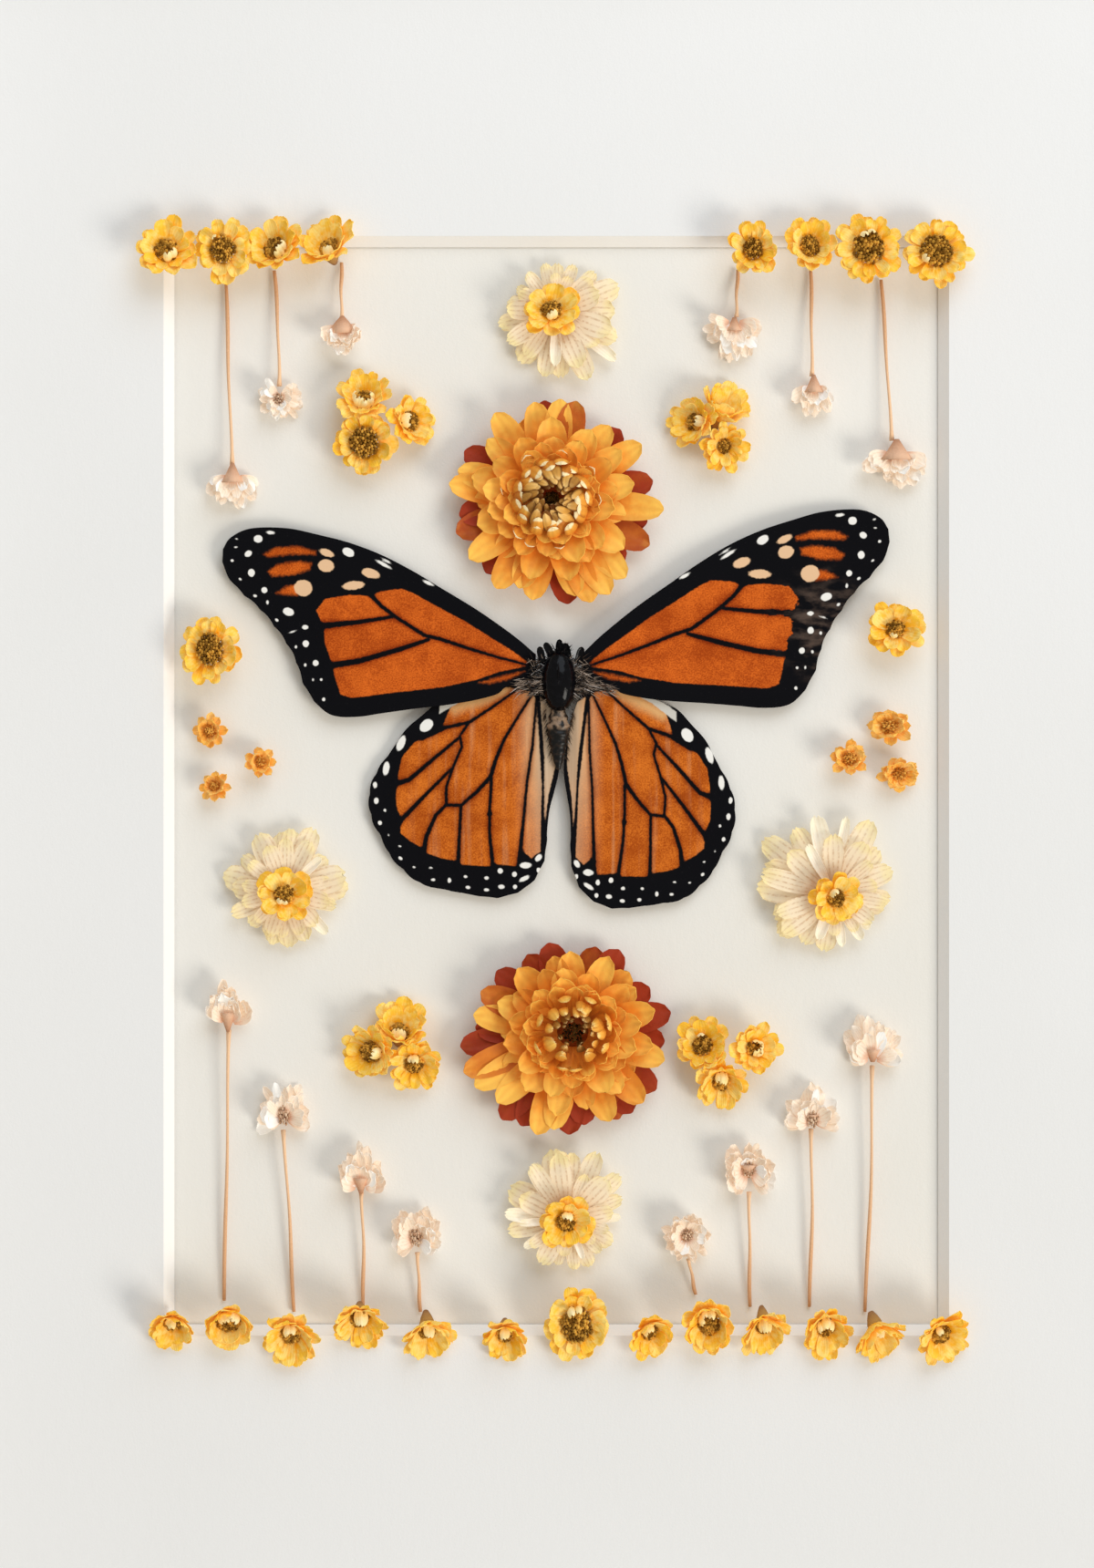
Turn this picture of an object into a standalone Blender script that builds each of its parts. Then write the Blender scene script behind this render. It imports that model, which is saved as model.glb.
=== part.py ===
"""Pressed flower frame: a butterfly and dried flowers in a bevel-cut window mat.

The frame lies on its back. +Z points out of the picture, +Y to the picture's top and +X to its right.
The origin is the middle of the back, on the surface that the frame lies on. The sizes and places
below are in millimetres, and MM turns them into metres.
"""
import math

import bmesh
import bpy
from mathutils import Matrix, Vector

MM = 0.001

# Frame, mat and board. The insert is a 9 x 12 in format and the window a 5 x 7 in opening.
GAP = 0.3
INSERT_WIDTH = 228.6
INSERT_HEIGHT = 304.8
WINDOW_WIDTH = 127.0
WINDOW_HEIGHT = 177.8
BOARD_THICK = 3.0
MAT_THICK = 1.6
RAIL_WALL = 14.0
RAIL_LIP = 6.0
RAIL_HEIGHT = 17.0
RAIL_ROUNDING = 0.5

MAT_BOTTOM = BOARD_THICK + GAP
MAT_TOP = MAT_BOTTOM + MAT_THICK
ON_BOARD = BOARD_THICK + GAP
ON_MAT = MAT_TOP + GAP

# Flower heads: how high each kind stands over what it is glued to.
STAR_TALL = 6.5
ORANGE_TALL = 4.2
PAPERY_TALL = 3.6
PAPERY_CENTRE_TALL = 6.4
STRAWFLOWER_TALL = 11.0
STAR_PETALS = 8
ORANGE_PETALS = 7
PAPERY_PETALS = 12
STRAWFLOWER_PETALS = 14
NOTCH = 0.12

# Cream flowers on stems.
STEM_RADIUS = 0.3
STEM_POINTS = 6
STEM_RISE = 1.6
CREAM_DEEP = 4.6
CREAM_SIDES = 12
CALYX_NECK = 0.7

# Butterfly.
WING_THICK = 0.35
FOREWING_Z = 5.9
HINDWING_Z = 4.9
WING_DROOP = math.radians(1.2)
BODY_X = 0.4
BODY_Z = 5.9
BODY_SIDES = 16

# One flower head is (x, y, half width, half height) over the board or the mat.
STARS_ON_MAT = {
    "star_row_top_left": [
        (-62.2, 88.0, 5.0, 5.1), (-53.2, 86.8, 4.6, 5.4),
        (-45.2, 87.8, 4.5, 4.5), (-36.6, 88.5, 4.6, 4.2),
    ],
    "star_flower_top_right": [(31.4, 86.5, 4.0, 4.4)],
    "star_row_top_right": [
        (41.1, 87.9, 4.2, 4.6), (50.0, 86.6, 6.2, 5.7), (61.4, 85.5, 6.2, 5.9),
    ],
    "bottom_star_01": [(-61.9, -87.6, 3.7, 3.7)],
    "bottom_star_02": [(-52.5, -86.9, 3.9, 4.0)],
    "bottom_star_03": [(-42.5, -89.0, 4.8, 4.7)],
    "bottom_star_04": [(-31.4, -87.0, 4.5, 4.0)],
    "bottom_star_05": [(-20.4, -88.6, 4.5, 4.2)],
    "bottom_star_06": [(-8.3, -89.1, 3.7, 3.8)],
    "bottom_star_07": [(3.2, -86.5, 5.3, 6.3)],
    "bottom_star_08": [(15.2, -88.6, 3.6, 4.1)],
    "bottom_star_09": [(24.3, -86.8, 4.3, 4.8)],
    "bottom_star_10": [(33.7, -87.8, 4.1, 4.1)],
    "bottom_star_11": [(43.8, -88.1, 3.9, 4.6)],
    "bottom_star_12": [(52.1, -88.9, 3.9, 4.2)],
    "bottom_star_13": [(62.3, -88.7, 4.3, 4.6)],
}
STARS_ON_BOARD = {
    "star_cluster_upper_left": [(-31.0, 63.0, 4.5, 4.5), (-23.6, 59.0, 3.9, 3.9), (-30.7, 55.3, 5.4, 5.3)],
    "star_cluster_upper_right": [(21.8, 59.0, 4.0, 3.9), (27.6, 61.8, 3.8, 3.9), (27.3, 54.6, 4.2, 4.2)],
    "star_cluster_lower_left": [(-30.4, -42.8, 4.3, 4.3), (-25.0, -38.0, 4.0, 4.0), (-22.9, -45.1, 4.4, 4.4)],
    "star_cluster_lower_right": [(23.6, -41.0, 4.0, 4.1), (32.0, -42.2, 4.8, 4.3), (26.5, -48.1, 4.4, 4.4)],
    "star_flower_left": [(-55.6, 21.8, 5.1, 5.6)],
    "star_flower_right": [(54.9, 25.2, 4.7, 4.5)],
}
ORANGE_FLOWERS = {
    "orange_flower_left_1": (-55.9, 9.0, 3.3, 3.2),
    "orange_flower_left_2": (-47.7, 3.8, 2.8, 2.7),
    "orange_flower_left_3": (-55.1, -0.1, 3.0, 2.7),
    "orange_flower_right_1": (53.7, 9.4, 3.9, 3.2),
    "orange_flower_right_2": (47.1, 4.7, 3.3, 3.2),
    "orange_flower_right_3": (55.1, 1.7, 3.9, 3.1),
}
PAPERY_FLOWERS = {
    "papery_flower_top": (0.4, 75.0, 9.9, 9.6),
    "papery_flower_left": (-43.8, -16.4, 10.2, 9.8),
    "papery_flower_right": (43.4, -15.8, 11.1, 11.1),
    "papery_flower_bottom": (1.2, -68.4, 9.6, 9.9),
}
PAPERY_CENTRE = 3.4
STRAWFLOWERS = {
    "strawflower_top": (0.0, 45.8, 17.3, 16.9),
    "strawflower_bottom": (1.5, -40.8, 17.0, 15.9),
}
# One stemmed flower is (stem end x, y), (head middle x, y), head width, head length.
CREAM_FLOWERS = {
    "hanging_flower_left_1": ((-53.5, 81.5), (-52.4, 48.4), 8.4, 7.4),
    "hanging_flower_left_2": ((-45.7, 83.5), (-44.6, 62.4), 6.4, 6.6),
    "hanging_flower_left_3": ((-34.8, 84.8), (-34.7, 72.6), 6.4, 6.4),
    "hanging_flower_right_1": ((29.4, 83.6), (28.4, 72.4), 9.4, 7.8),
    "hanging_flower_right_2": ((41.2, 83.6), (41.4, 63.0), 6.4, 6.8),
    "hanging_flower_right_3": ((52.6, 82.0), (54.6, 52.0), 10.6, 8.0),
    "standing_flower_left_1": ((-53.8, -83.4), (-52.8, -35.4), 8.0, 8.4),
    "standing_flower_left_2": ((-42.5, -85.2), (-44.2, -52.2), 8.4, 8.6),
    "standing_flower_left_3": ((-31.3, -84.4), (-31.4, -61.6), 7.6, 8.6),
    "standing_flower_left_4": ((-22.0, -85.2), (-22.6, -72.0), 7.6, 8.0),
    "standing_flower_right_1": ((50.0, -85.2), (51.3, -41.2), 8.8, 8.6),
    "standing_flower_right_2": ((41.0, -84.4), (41.3, -51.9), 8.2, 8.2),
    "standing_flower_right_3": ((31.4, -84.4), (31.3, -61.8), 8.2, 8.6),
    "standing_flower_right_4": ((22.6, -82.4), (21.0, -73.0), 7.6, 8.0),
}
# Wing outlines run from the root along the leading edge, round the outer edge and back.
WINGS = {
    "left_forewing": (FOREWING_Z, [
        (-3.5, 21.0), (-10.8, 25.3), (-21.5, 32.9), (-32.5, 38.3), (-43.8, 41.2), (-50.8, 41.2),
        (-54.0, 37.4), (-50.2, 30.0), (-43.4, 22.7), (-39.8, 15.3), (-35.8, 11.8), (-19.5, 13.4),
        (-4.6, 17.2),
    ]),
    "right_forewing": (FOREWING_Z, [
        (4.3, 22.4), (10.8, 27.9), (21.6, 35.6), (32.7, 40.4), (42.5, 43.6), (50.4, 44.3),
        (53.9, 41.0), (49.6, 33.0), (42.8, 24.9), (39.4, 17.4), (34.8, 13.4), (18.1, 14.6),
        (5.4, 17.2),
    ]),
    "left_hindwing": (HINDWING_Z, [
        (-4.0, 15.0), (-12.6, 15.2), (-20.6, 11.8), (-27.4, 4.6), (-30.4, -2.4), (-27.8, -9.8),
        (-22.2, -15.8), (-13.0, -18.0), (-6.6, -17.4), (-2.6, -13.2), (-1.9, -4.0), (-2.0, 6.0),
    ]),
    "right_hindwing": (HINDWING_Z, [
        (4.8, 15.0), (12.8, 15.0), (20.4, 11.6), (26.6, 4.6), (29.0, -3.0), (27.4, -10.4),
        (22.4, -16.6), (13.4, -19.8), (7.0, -18.6), (3.2, -14.0), (2.5, -4.0), (2.8, 6.0),
    ]),
}
WING_STEPS = 3
# Half width of the body from the front of the head to the tip of the shrunken abdomen, as (y, radius).
BODY_PROFILE = [
    (23.6, 0.0), (23.2, 0.9), (22.4, 1.4), (21.4, 1.4), (20.0, 2.2), (17.4, 2.7),
    (14.0, 2.4), (12.2, 1.6), (10.2, 1.8), (7.0, 1.6), (4.0, 0.9), (2.4, 0.0),
]

COLOURS = {
    "painted_wood": ((0.86, 0.86, 0.84), 0.45),
    "mat_board": ((0.88, 0.88, 0.87), 0.9),
    "mount_card": ((0.83, 0.82, 0.79), 0.9),
    "insect_body": ((0.02, 0.018, 0.02), 0.4),
    "wing": ((0.58, 0.16, 0.03), 0.6),
    "straw_bracts": ((0.60, 0.15, 0.03), 0.5),
    "papery_petals": ((0.85, 0.78, 0.62), 0.7),
    "cream_petals": ((0.84, 0.72, 0.60), 0.7),
    "yellow_petals": ((0.82, 0.50, 0.05), 0.6),
    "orange_petals": ((0.75, 0.32, 0.06), 0.6),
}


def make_collection(name):
    collection = bpy.data.collections.new(name)
    bpy.context.scene.collection.children.link(collection)
    return collection


def make_materials():
    made = {}
    for name, (colour, roughness) in COLOURS.items():
        material = bpy.data.materials.new(name)
        material.use_nodes = True
        shader = material.node_tree.nodes["Principled BSDF"]
        shader.inputs["Base Color"].default_value = (*colour, 1.0)
        shader.inputs["Roughness"].default_value = roughness
        shader.inputs["Metallic"].default_value = 0.0
        material.diffuse_color = (*colour, 1.0)
        made[name] = material
    return made


def make_object(name, shape, material, collection):
    """An object in `collection`, from a mesh or from a bmesh that is used up."""
    if isinstance(shape, bmesh.types.BMesh):
        mesh = bpy.data.meshes.new(name)
        shape.to_mesh(mesh)
        shape.free()
        shape = mesh
    shape.materials.append(material)
    made = bpy.data.objects.new(name, shape)
    collection.objects.link(made)
    if collection is cutters:
        made.hide_render = True
        made.display_type = "WIRE"
    return made


def unite(base, others):
    """Join solids that overlap `base` into it."""
    for other in others:
        union = base.modifiers.new("Join " + other.name, "BOOLEAN")
        union.operation = "UNION"
        union.solver = "EXACT"
        union.object = other


def curve_to_mesh(curve_object):
    """A closed mesh of a curve object, with its loose caps welded."""
    graph = bpy.context.evaluated_depsgraph_get()
    mesh = bpy.data.meshes.new_from_object(curve_object.evaluated_get(graph))
    bm = bmesh.new()
    bm.from_mesh(mesh)
    bmesh.ops.remove_doubles(bm, verts=bm.verts, dist=0.000001)
    bm.to_mesh(mesh)
    bm.free()
    curve = curve_object.data
    bpy.data.objects.remove(curve_object)
    bpy.data.curves.remove(curve)
    return mesh


# ---------------------------------------------------------------- frame, mat and board

def make_rail(name, sight_length, distance, turn):
    """One mitred rail: an L section, run along X, with its lip over the mat's edge."""
    face = RAIL_WALL + RAIL_LIP
    section = [
        (0.0, ON_MAT), (0.0, RAIL_HEIGHT), (face, RAIL_HEIGHT),
        (face, 0.0), (RAIL_LIP, 0.0), (RAIL_LIP, ON_MAT),
    ]
    bm = bmesh.new()
    ring = [bm.verts.new((0.0, out * MM, up * MM)) for out, up in section]
    end = bm.faces.new(ring)
    swept = bmesh.ops.extrude_face_region(bm, geom=[end])["geom"]
    far_verts = [item for item in swept if isinstance(item, bmesh.types.BMVert)]
    for vert in bm.verts:
        side = 1.0 if vert in far_verts else -1.0
        vert.co.x = side * ((sight_length / 2 - GAP / 2) * MM + vert.co.y)
    bmesh.ops.recalc_face_normals(bm, faces=bm.faces)
    place = Matrix.Rotation(turn, 4, "Z") @ Matrix.Translation((0.0, distance * MM, 0.0))
    bmesh.ops.transform(bm, matrix=place, verts=bm.verts)
    rail = make_object(name, bm, materials["painted_wood"], parts)
    rounding = rail.modifiers.new("Rounded edges", "BEVEL")
    rounding.width = RAIL_ROUNDING * MM
    rounding.segments = 2
    rounding.limit_method = "ANGLE"


def make_frame():
    sight_width = INSERT_WIDTH + 2 * GAP - 2 * RAIL_LIP
    sight_height = INSERT_HEIGHT + 2 * GAP - 2 * RAIL_LIP
    make_rail("frame_rail_top", sight_width, sight_height / 2, 0.0)
    make_rail("frame_rail_bottom", sight_width, sight_height / 2, math.pi)
    make_rail("frame_rail_left", sight_height, sight_width / 2, math.pi / 2)
    make_rail("frame_rail_right", sight_height, sight_width / 2, -math.pi / 2)


def slab(width, height, bottom, thick, slope=0.0):
    """A rectangular slab, each side `slope` longer at the top than at the bottom."""
    bm = bmesh.new()
    bmesh.ops.create_cube(bm, size=1.0)
    for vert in bm.verts:
        grow = slope if vert.co.z > 0 else 0.0
        side_x = math.copysign(width / 2 + grow, vert.co.x)
        side_y = math.copysign(height / 2 + grow, vert.co.y)
        vert.co = Vector((side_x, side_y, bottom + thick * (vert.co.z + 0.5))) * MM
    return bm


def make_boards():
    board = slab(INSERT_WIDTH, INSERT_HEIGHT, 0.0, BOARD_THICK)
    make_object("mount_board", board, materials["mount_card"], parts)
    mat = make_object(
        "window_mat", slab(INSERT_WIDTH, INSERT_HEIGHT, MAT_BOTTOM, MAT_THICK), materials["mat_board"], parts)
    reach = 1.0
    opening = slab(
        WINDOW_WIDTH - 2 * (MAT_THICK + reach), WINDOW_HEIGHT - 2 * (MAT_THICK + reach),
        MAT_BOTTOM - reach, MAT_THICK + 2 * reach, MAT_THICK + 2 * reach)
    window = mat.modifiers.new("Bevel-cut window", "BOOLEAN")
    window.operation = "DIFFERENCE"
    window.solver = "EXACT"
    window.object = make_object("window_cutter", opening, materials["mat_board"], cutters)


# ---------------------------------------------------------------- flowers

def dome(head, base, tall, petals):
    """A flat-bottomed dome with a scalloped rim, as wide and tall as one open flower head."""
    x, y, half_width, half_height = head
    bm = bmesh.new()
    bmesh.ops.create_uvsphere(bm, u_segments=2 * petals, v_segments=4, radius=1.0)
    for vert in bm.verts:
        angle = math.atan2(vert.co.y, vert.co.x)
        scallop = 1.0 - NOTCH * (0.5 - 0.5 * math.cos(petals * angle))
        rise = 0.0 if vert.co.z < -0.1 else 0.45 + 0.55 * vert.co.z
        flat = Vector((vert.co.x * half_width * scallop, vert.co.y * half_height * scallop, rise * tall))
        vert.co = (Vector((x, y, base)) + flat) * MM
    return bm


def make_heads(name, heads, base, tall, petals, material):
    """One node of one or more heads; those that touch are joined to the first."""
    first, *others = [
        make_object(
            name if index == 0 else f"{name}_head_{index + 1}", dome(head, base, tall, petals),
            material, parts if index == 0 else cutters)
        for index, head in enumerate(heads)
    ]
    unite(first, others)
    return first


def make_open_flowers():
    yellow = materials["yellow_petals"]
    for name, heads in STARS_ON_MAT.items():
        make_heads(name, heads, ON_MAT, STAR_TALL, STAR_PETALS, yellow)
    for name, heads in STARS_ON_BOARD.items():
        make_heads(name, heads, ON_BOARD, STAR_TALL, STAR_PETALS, yellow)
    for name, head in ORANGE_FLOWERS.items():
        make_heads(name, [head], ON_BOARD, ORANGE_TALL, ORANGE_PETALS, materials["orange_petals"])
    for name, head in STRAWFLOWERS.items():
        make_heads(name, [head], ON_BOARD, STRAWFLOWER_TALL, STRAWFLOWER_PETALS, materials["straw_bracts"])
    for name, head in PAPERY_FLOWERS.items():
        skirt = make_heads(name, [head], ON_BOARD, PAPERY_TALL, PAPERY_PETALS, materials["papery_petals"])
        spot = (*head[:2], PAPERY_CENTRE, PAPERY_CENTRE)
        middle = dome(spot, ON_BOARD + GAP, PAPERY_CENTRE_TALL, STAR_PETALS)
        unite(skirt, [make_object(name + "_middle", middle, yellow, cutters)])


def cream_head(centre, width, length, down):
    """A head lying on its side: a calyx cone that opens into a ring of petals, along Y."""
    bm = bmesh.new()
    cone = length * 0.45
    bmesh.ops.create_cone(
        bm, cap_ends=True, segments=CREAM_SIDES, radius1=CALYX_NECK, radius2=width * 0.30, depth=cone)
    for grow, step in ((1.65, length * 0.35), (0.55, length * 0.20)):
        rim = max(bm.faces, key=lambda face: face.calc_center_median().z)
        swept = bmesh.ops.extrude_discrete_faces(bm, faces=[rim])["faces"][0]
        for vert in swept.verts:
            vert.co = Vector((vert.co.x * grow, vert.co.y * grow, vert.co.z + step))
    flatten = CREAM_DEEP / width
    facing = math.radians(90.0 if down else -90.0)
    place = Matrix.Translation((*centre, ON_BOARD + CREAM_DEEP / 2))
    place = place @ Matrix.Diagonal((1.0, 1.0, flatten, 1.0)) @ Matrix.Rotation(facing, 4, "X")
    place = place @ Matrix.Translation((0.0, 0.0, cone / 2 - length / 2))
    bmesh.ops.transform(bm, matrix=Matrix.Scale(MM, 4) @ place, verts=bm.verts)
    return bm


def stem_mesh(name, end, neck):
    """A thin tube along the board that rises to the neck of its head."""
    curve = bpy.data.curves.new(name, "CURVE")
    curve.dimensions = "3D"
    curve.bevel_depth = STEM_RADIUS * MM
    curve.bevel_resolution = 2
    curve.use_fill_caps = True
    spline = curve.splines.new("POLY")
    spline.points.add(STEM_POINTS - 1)
    for index, point in enumerate(spline.points):
        along = index / (STEM_POINTS - 1)
        flat = Vector(end).lerp(Vector(neck), along)
        up = ON_BOARD + STEM_RADIUS + STEM_RISE * along ** 3
        point.co = (flat.x * MM, flat.y * MM, up * MM, 1.0)
    tube = bpy.data.objects.new(name, curve)
    cutters.objects.link(tube)
    return curve_to_mesh(tube)


def make_stemmed_flowers():
    cream = materials["cream_petals"]
    for name, (end, centre, width, length) in CREAM_FLOWERS.items():
        down = end[1] > centre[1]
        head = make_object(name, cream_head(centre, width, length, down), cream, parts)
        toward_end = length * 0.35 if down else -length * 0.35
        stem = stem_mesh(name + "_stem", end, (centre[0], centre[1] + toward_end))
        unite(head, [make_object(name + "_stem", stem, cream, cutters)])


# ---------------------------------------------------------------- butterfly

def make_wing(name, level, outline):
    """A thin sheet cut to a smooth outline, drooping a little from the body to its tip."""
    curve = bpy.data.curves.new(name, "CURVE")
    curve.dimensions = "2D"
    curve.fill_mode = "BOTH"
    curve.extrude = WING_THICK * MM / 2
    curve.resolution_u = WING_STEPS
    spline = curve.splines.new("BEZIER")
    spline.bezier_points.add(len(outline) - 1)
    spline.use_cyclic_u = True
    for point, (x, y) in zip(spline.bezier_points, outline):
        point.co = ((x - BODY_X) * MM, y * MM, 0.0)
        point.handle_left_type = "AUTO"
        point.handle_right_type = "AUTO"
    sheet = bpy.data.objects.new(name + "_outline", curve)
    cutters.objects.link(sheet)
    wing = make_object(name, curve_to_mesh(sheet), materials["wing"], parts)
    wing.location = (BODY_X * MM, 0.0, level * MM)
    wing.rotation_euler = (0.0, math.copysign(WING_DROOP, outline[1][0]), 0.0)


def make_body():
    """Head, thorax and abdomen as one turned shape along Y."""
    mesh = bpy.data.meshes.new("butterfly_body")
    bm = bmesh.new()
    profile = [bm.verts.new((radius * MM, y * MM, 0.0)) for y, radius in BODY_PROFILE]
    for front, back in zip(profile, profile[1:]):
        bm.edges.new((front, back))
    bm.to_mesh(mesh)
    bm.free()
    body = make_object("butterfly_body", mesh, materials["insect_body"], parts)
    body.location = (BODY_X * MM, 0.0, BODY_Z * MM)
    turned = body.modifiers.new("Turned", "SCREW")
    turned.axis = "Y"
    turned.angle = math.tau
    turned.steps = BODY_SIDES
    turned.render_steps = BODY_SIDES
    turned.use_merge_vertices = True
    turned.merge_threshold = 0.00001


def make_butterfly():
    for name, (level, outline) in WINGS.items():
        make_wing(name, level, outline)
    make_body()


for leftover in list(bpy.data.objects):
    bpy.data.objects.remove(leftover)
parts = make_collection("pressed_flower_frame")
cutters = make_collection("cutters")
materials = make_materials()
make_frame()
make_boards()
make_open_flowers()
make_stemmed_flowers()
make_butterfly()
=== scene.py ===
import math
import random

import bmesh
import bpy
import numpy as np
from mathutils import Matrix, Vector


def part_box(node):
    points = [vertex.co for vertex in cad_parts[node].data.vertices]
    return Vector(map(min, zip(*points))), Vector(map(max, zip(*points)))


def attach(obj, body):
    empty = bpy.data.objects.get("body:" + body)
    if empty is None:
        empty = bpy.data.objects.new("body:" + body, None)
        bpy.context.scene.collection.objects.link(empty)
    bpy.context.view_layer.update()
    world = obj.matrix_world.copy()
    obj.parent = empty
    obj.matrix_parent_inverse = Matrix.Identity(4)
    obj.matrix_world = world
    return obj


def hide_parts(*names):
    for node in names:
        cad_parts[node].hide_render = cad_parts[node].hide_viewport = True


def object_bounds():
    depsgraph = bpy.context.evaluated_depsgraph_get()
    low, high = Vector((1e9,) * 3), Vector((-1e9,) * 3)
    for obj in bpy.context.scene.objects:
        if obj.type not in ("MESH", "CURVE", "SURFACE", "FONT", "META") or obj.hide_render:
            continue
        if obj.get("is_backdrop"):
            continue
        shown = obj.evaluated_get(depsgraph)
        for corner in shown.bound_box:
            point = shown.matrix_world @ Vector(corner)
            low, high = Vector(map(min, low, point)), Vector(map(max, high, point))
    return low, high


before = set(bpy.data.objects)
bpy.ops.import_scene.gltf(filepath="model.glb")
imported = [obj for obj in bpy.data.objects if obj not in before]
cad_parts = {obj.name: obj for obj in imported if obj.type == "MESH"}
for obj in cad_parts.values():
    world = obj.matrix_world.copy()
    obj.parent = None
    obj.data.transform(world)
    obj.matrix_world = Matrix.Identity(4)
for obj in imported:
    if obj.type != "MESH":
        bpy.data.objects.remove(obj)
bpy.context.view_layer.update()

# The studio. The frame lies on a pale table and the camera looks straight down on it from 0.6 m,
# close enough for the mat to fill the view. One soft window-like light comes low from the right.
MM = 0.001
CAMERA_HEIGHT = 0.6
VIEW_HEIGHT = 0.2535
VIEW_CENTRE = (-0.0015, 0.0003)
FILM_HEIGHT = 36.0
ROOM_LIGHT = 0.47
TABLE_HALF = 4.0
TABLE_GAP = 0.0005

mat_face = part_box("window_mat")[1].z
camera_data = bpy.data.cameras.new("camera")
camera_data.sensor_fit = "VERTICAL"
camera_data.sensor_height = FILM_HEIGHT
camera_data.lens = FILM_HEIGHT * CAMERA_HEIGHT / VIEW_HEIGHT
camera = bpy.data.objects.new("camera", camera_data)
camera.location = (*VIEW_CENTRE, mat_face + CAMERA_HEIGHT)
bpy.context.scene.collection.objects.link(camera)
bpy.context.scene.camera = camera
bpy.context.scene.view_settings.view_transform = "Standard"


def add_softbox(name, place, size, watts, colour):
    """A square area light at `place` that faces the middle of the frame."""
    light = bpy.data.lights.new(name, "AREA")
    light.size = size
    light.energy = watts
    light.color = colour
    lamp = bpy.data.objects.new(name, light)
    lamp.location = place
    lamp.rotation_euler = (-Vector(place)).to_track_quat("-Z", "Y").to_euler()
    bpy.context.scene.collection.objects.link(lamp)


add_softbox("window_light", (2.25, -1.45, 1.85), 1.2, 50.0, (1.0, 0.955, 0.87))
add_softbox("skylight", (0.25, 0.62, 0.62), 0.7, 3.7, (0.80, 0.89, 1.0))
world = bpy.data.worlds.new("room")
world.use_nodes = True
room = world.node_tree.nodes["Background"].inputs
room["Color"].default_value = (1.0, 0.96, 0.875, 1.0)
room["Strength"].default_value = ROOM_LIGHT
bpy.context.scene.world = world

bm = bmesh.new()
bmesh.ops.create_grid(bm, x_segments=1, y_segments=1, size=TABLE_HALF)
table_mesh = bpy.data.meshes.new("table")
bm.to_mesh(table_mesh)
bm.free()
table = bpy.data.objects.new("table", table_mesh)
table.location.z = -TABLE_GAP
bpy.context.scene.collection.objects.link(table)
table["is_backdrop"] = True

# The mount board behind the window is thick cream card, and everything dried is glued to it. Its
# paper face has a fine felt tooth and slightly uneven colour.
CARD_CORE = (0.96, 0.945, 0.92)


class Channel:
    """One output of a material's nodes. Arithmetic on it adds Math nodes."""

    def __init__(self, socket):
        self.socket = socket

    def node(self, kind, settings, inputs, output=0):
        """Adds a node of any kind, sets it up, fills or links its sockets and gives one output."""
        made = self.socket.id_data.nodes.new(kind)
        for key, setting in settings.items():
            if key == "stops":
                ramp = made.color_ramp.elements
                while len(ramp) < len(setting):
                    ramp.new(0.5)
                for element, (place, colour) in zip(ramp, setting):
                    element.position = place
                    element.color = (*colour, 1.0)
            else:
                setattr(made, key, setting)
        for key, value in inputs.items():
            if isinstance(value, Channel):
                self.socket.id_data.links.new(value.socket, made.inputs[key])
            else:
                made.inputs[key].default_value = value
        return Channel(made.outputs[output])

    def math(self, operation, first, second=0.0):
        return self.node("ShaderNodeMath", {"operation": operation}, {0: first, 1: second})

    def __add__(self, other):
        return self.math("ADD", self, other)

    def __sub__(self, other):
        return self.math("SUBTRACT", self, other)

    def __rsub__(self, other):
        return self.math("SUBTRACT", other, self)

    def __mul__(self, other):
        return self.math("MULTIPLY", self, other)

    __radd__ = __add__
    __rmul__ = __mul__

    def __abs__(self):
        return self.math("ABSOLUTE", self)

    def sine(self):
        return self.math("SINE", self)

    def axis(self, index):
        """X, Y or Z of this position, for 0, 1 or 2."""
        return self.node("ShaderNodeSeparateXYZ", {}, {0: self}, index)

    def ramp(self, start, end):
        """0 at `start` and 1 at `end`, eased between them."""
        return self.node(
            "ShaderNodeMapRange", {"interpolation_type": "SMOOTHSTEP"},
            {"Value": self, "From Min": start, "From Max": end})

    def blend(self, colour_0, colour_1):
        """The first colour where this is 0 and the second where it is 1."""
        colours = [c if isinstance(c, Channel) else (*c, 1.0) for c in (colour_0, colour_1)]
        return self.node(
            "ShaderNodeMix", {"data_type": "RGBA"}, {0: self, 6: colours[0], 7: colours[1]}, 2)

    def noise(self, size, detail=3.0, stretch=(1.0, 1.0, 1.0)):
        """Soft mottling of this position, about `size` metres across."""
        place = self.node("ShaderNodeMapping", {}, {"Vector": self, "Scale": stretch})
        return self.node(
            "ShaderNodeTexNoise", {}, {"Vector": place, "Scale": 1.0 / size, "Detail": detail})

    def bump(self, height, strength=1.0):
        """The normal of a surface that this raises by up to `height` metres."""
        return self.node(
            "ShaderNodeBump", {}, {"Height": self, "Distance": height, "Strength": strength})


def new_finish(name, **constants):
    """A material, its shader's sockets by name, and the position on the piece."""
    material = bpy.data.materials.new(name)
    material.use_nodes = True
    shader = material.node_tree.nodes["Principled BSDF"]
    for key, value in constants.items():
        shader.inputs[key.replace("_", " ")].default_value = value
    where = Channel(material.node_tree.nodes.new("ShaderNodeTexCoord").outputs["Object"])
    return material, shader.inputs, where


def feed(channel, socket):
    """Links a channel to one of the shader's sockets."""
    channel.socket.id_data.links.new(channel.socket, socket)


def attribute(where, name):
    """A number stored on the vertices of the piece."""
    return where.node("ShaderNodeAttribute", {"attribute_name": name}, {}, 2)


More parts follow.
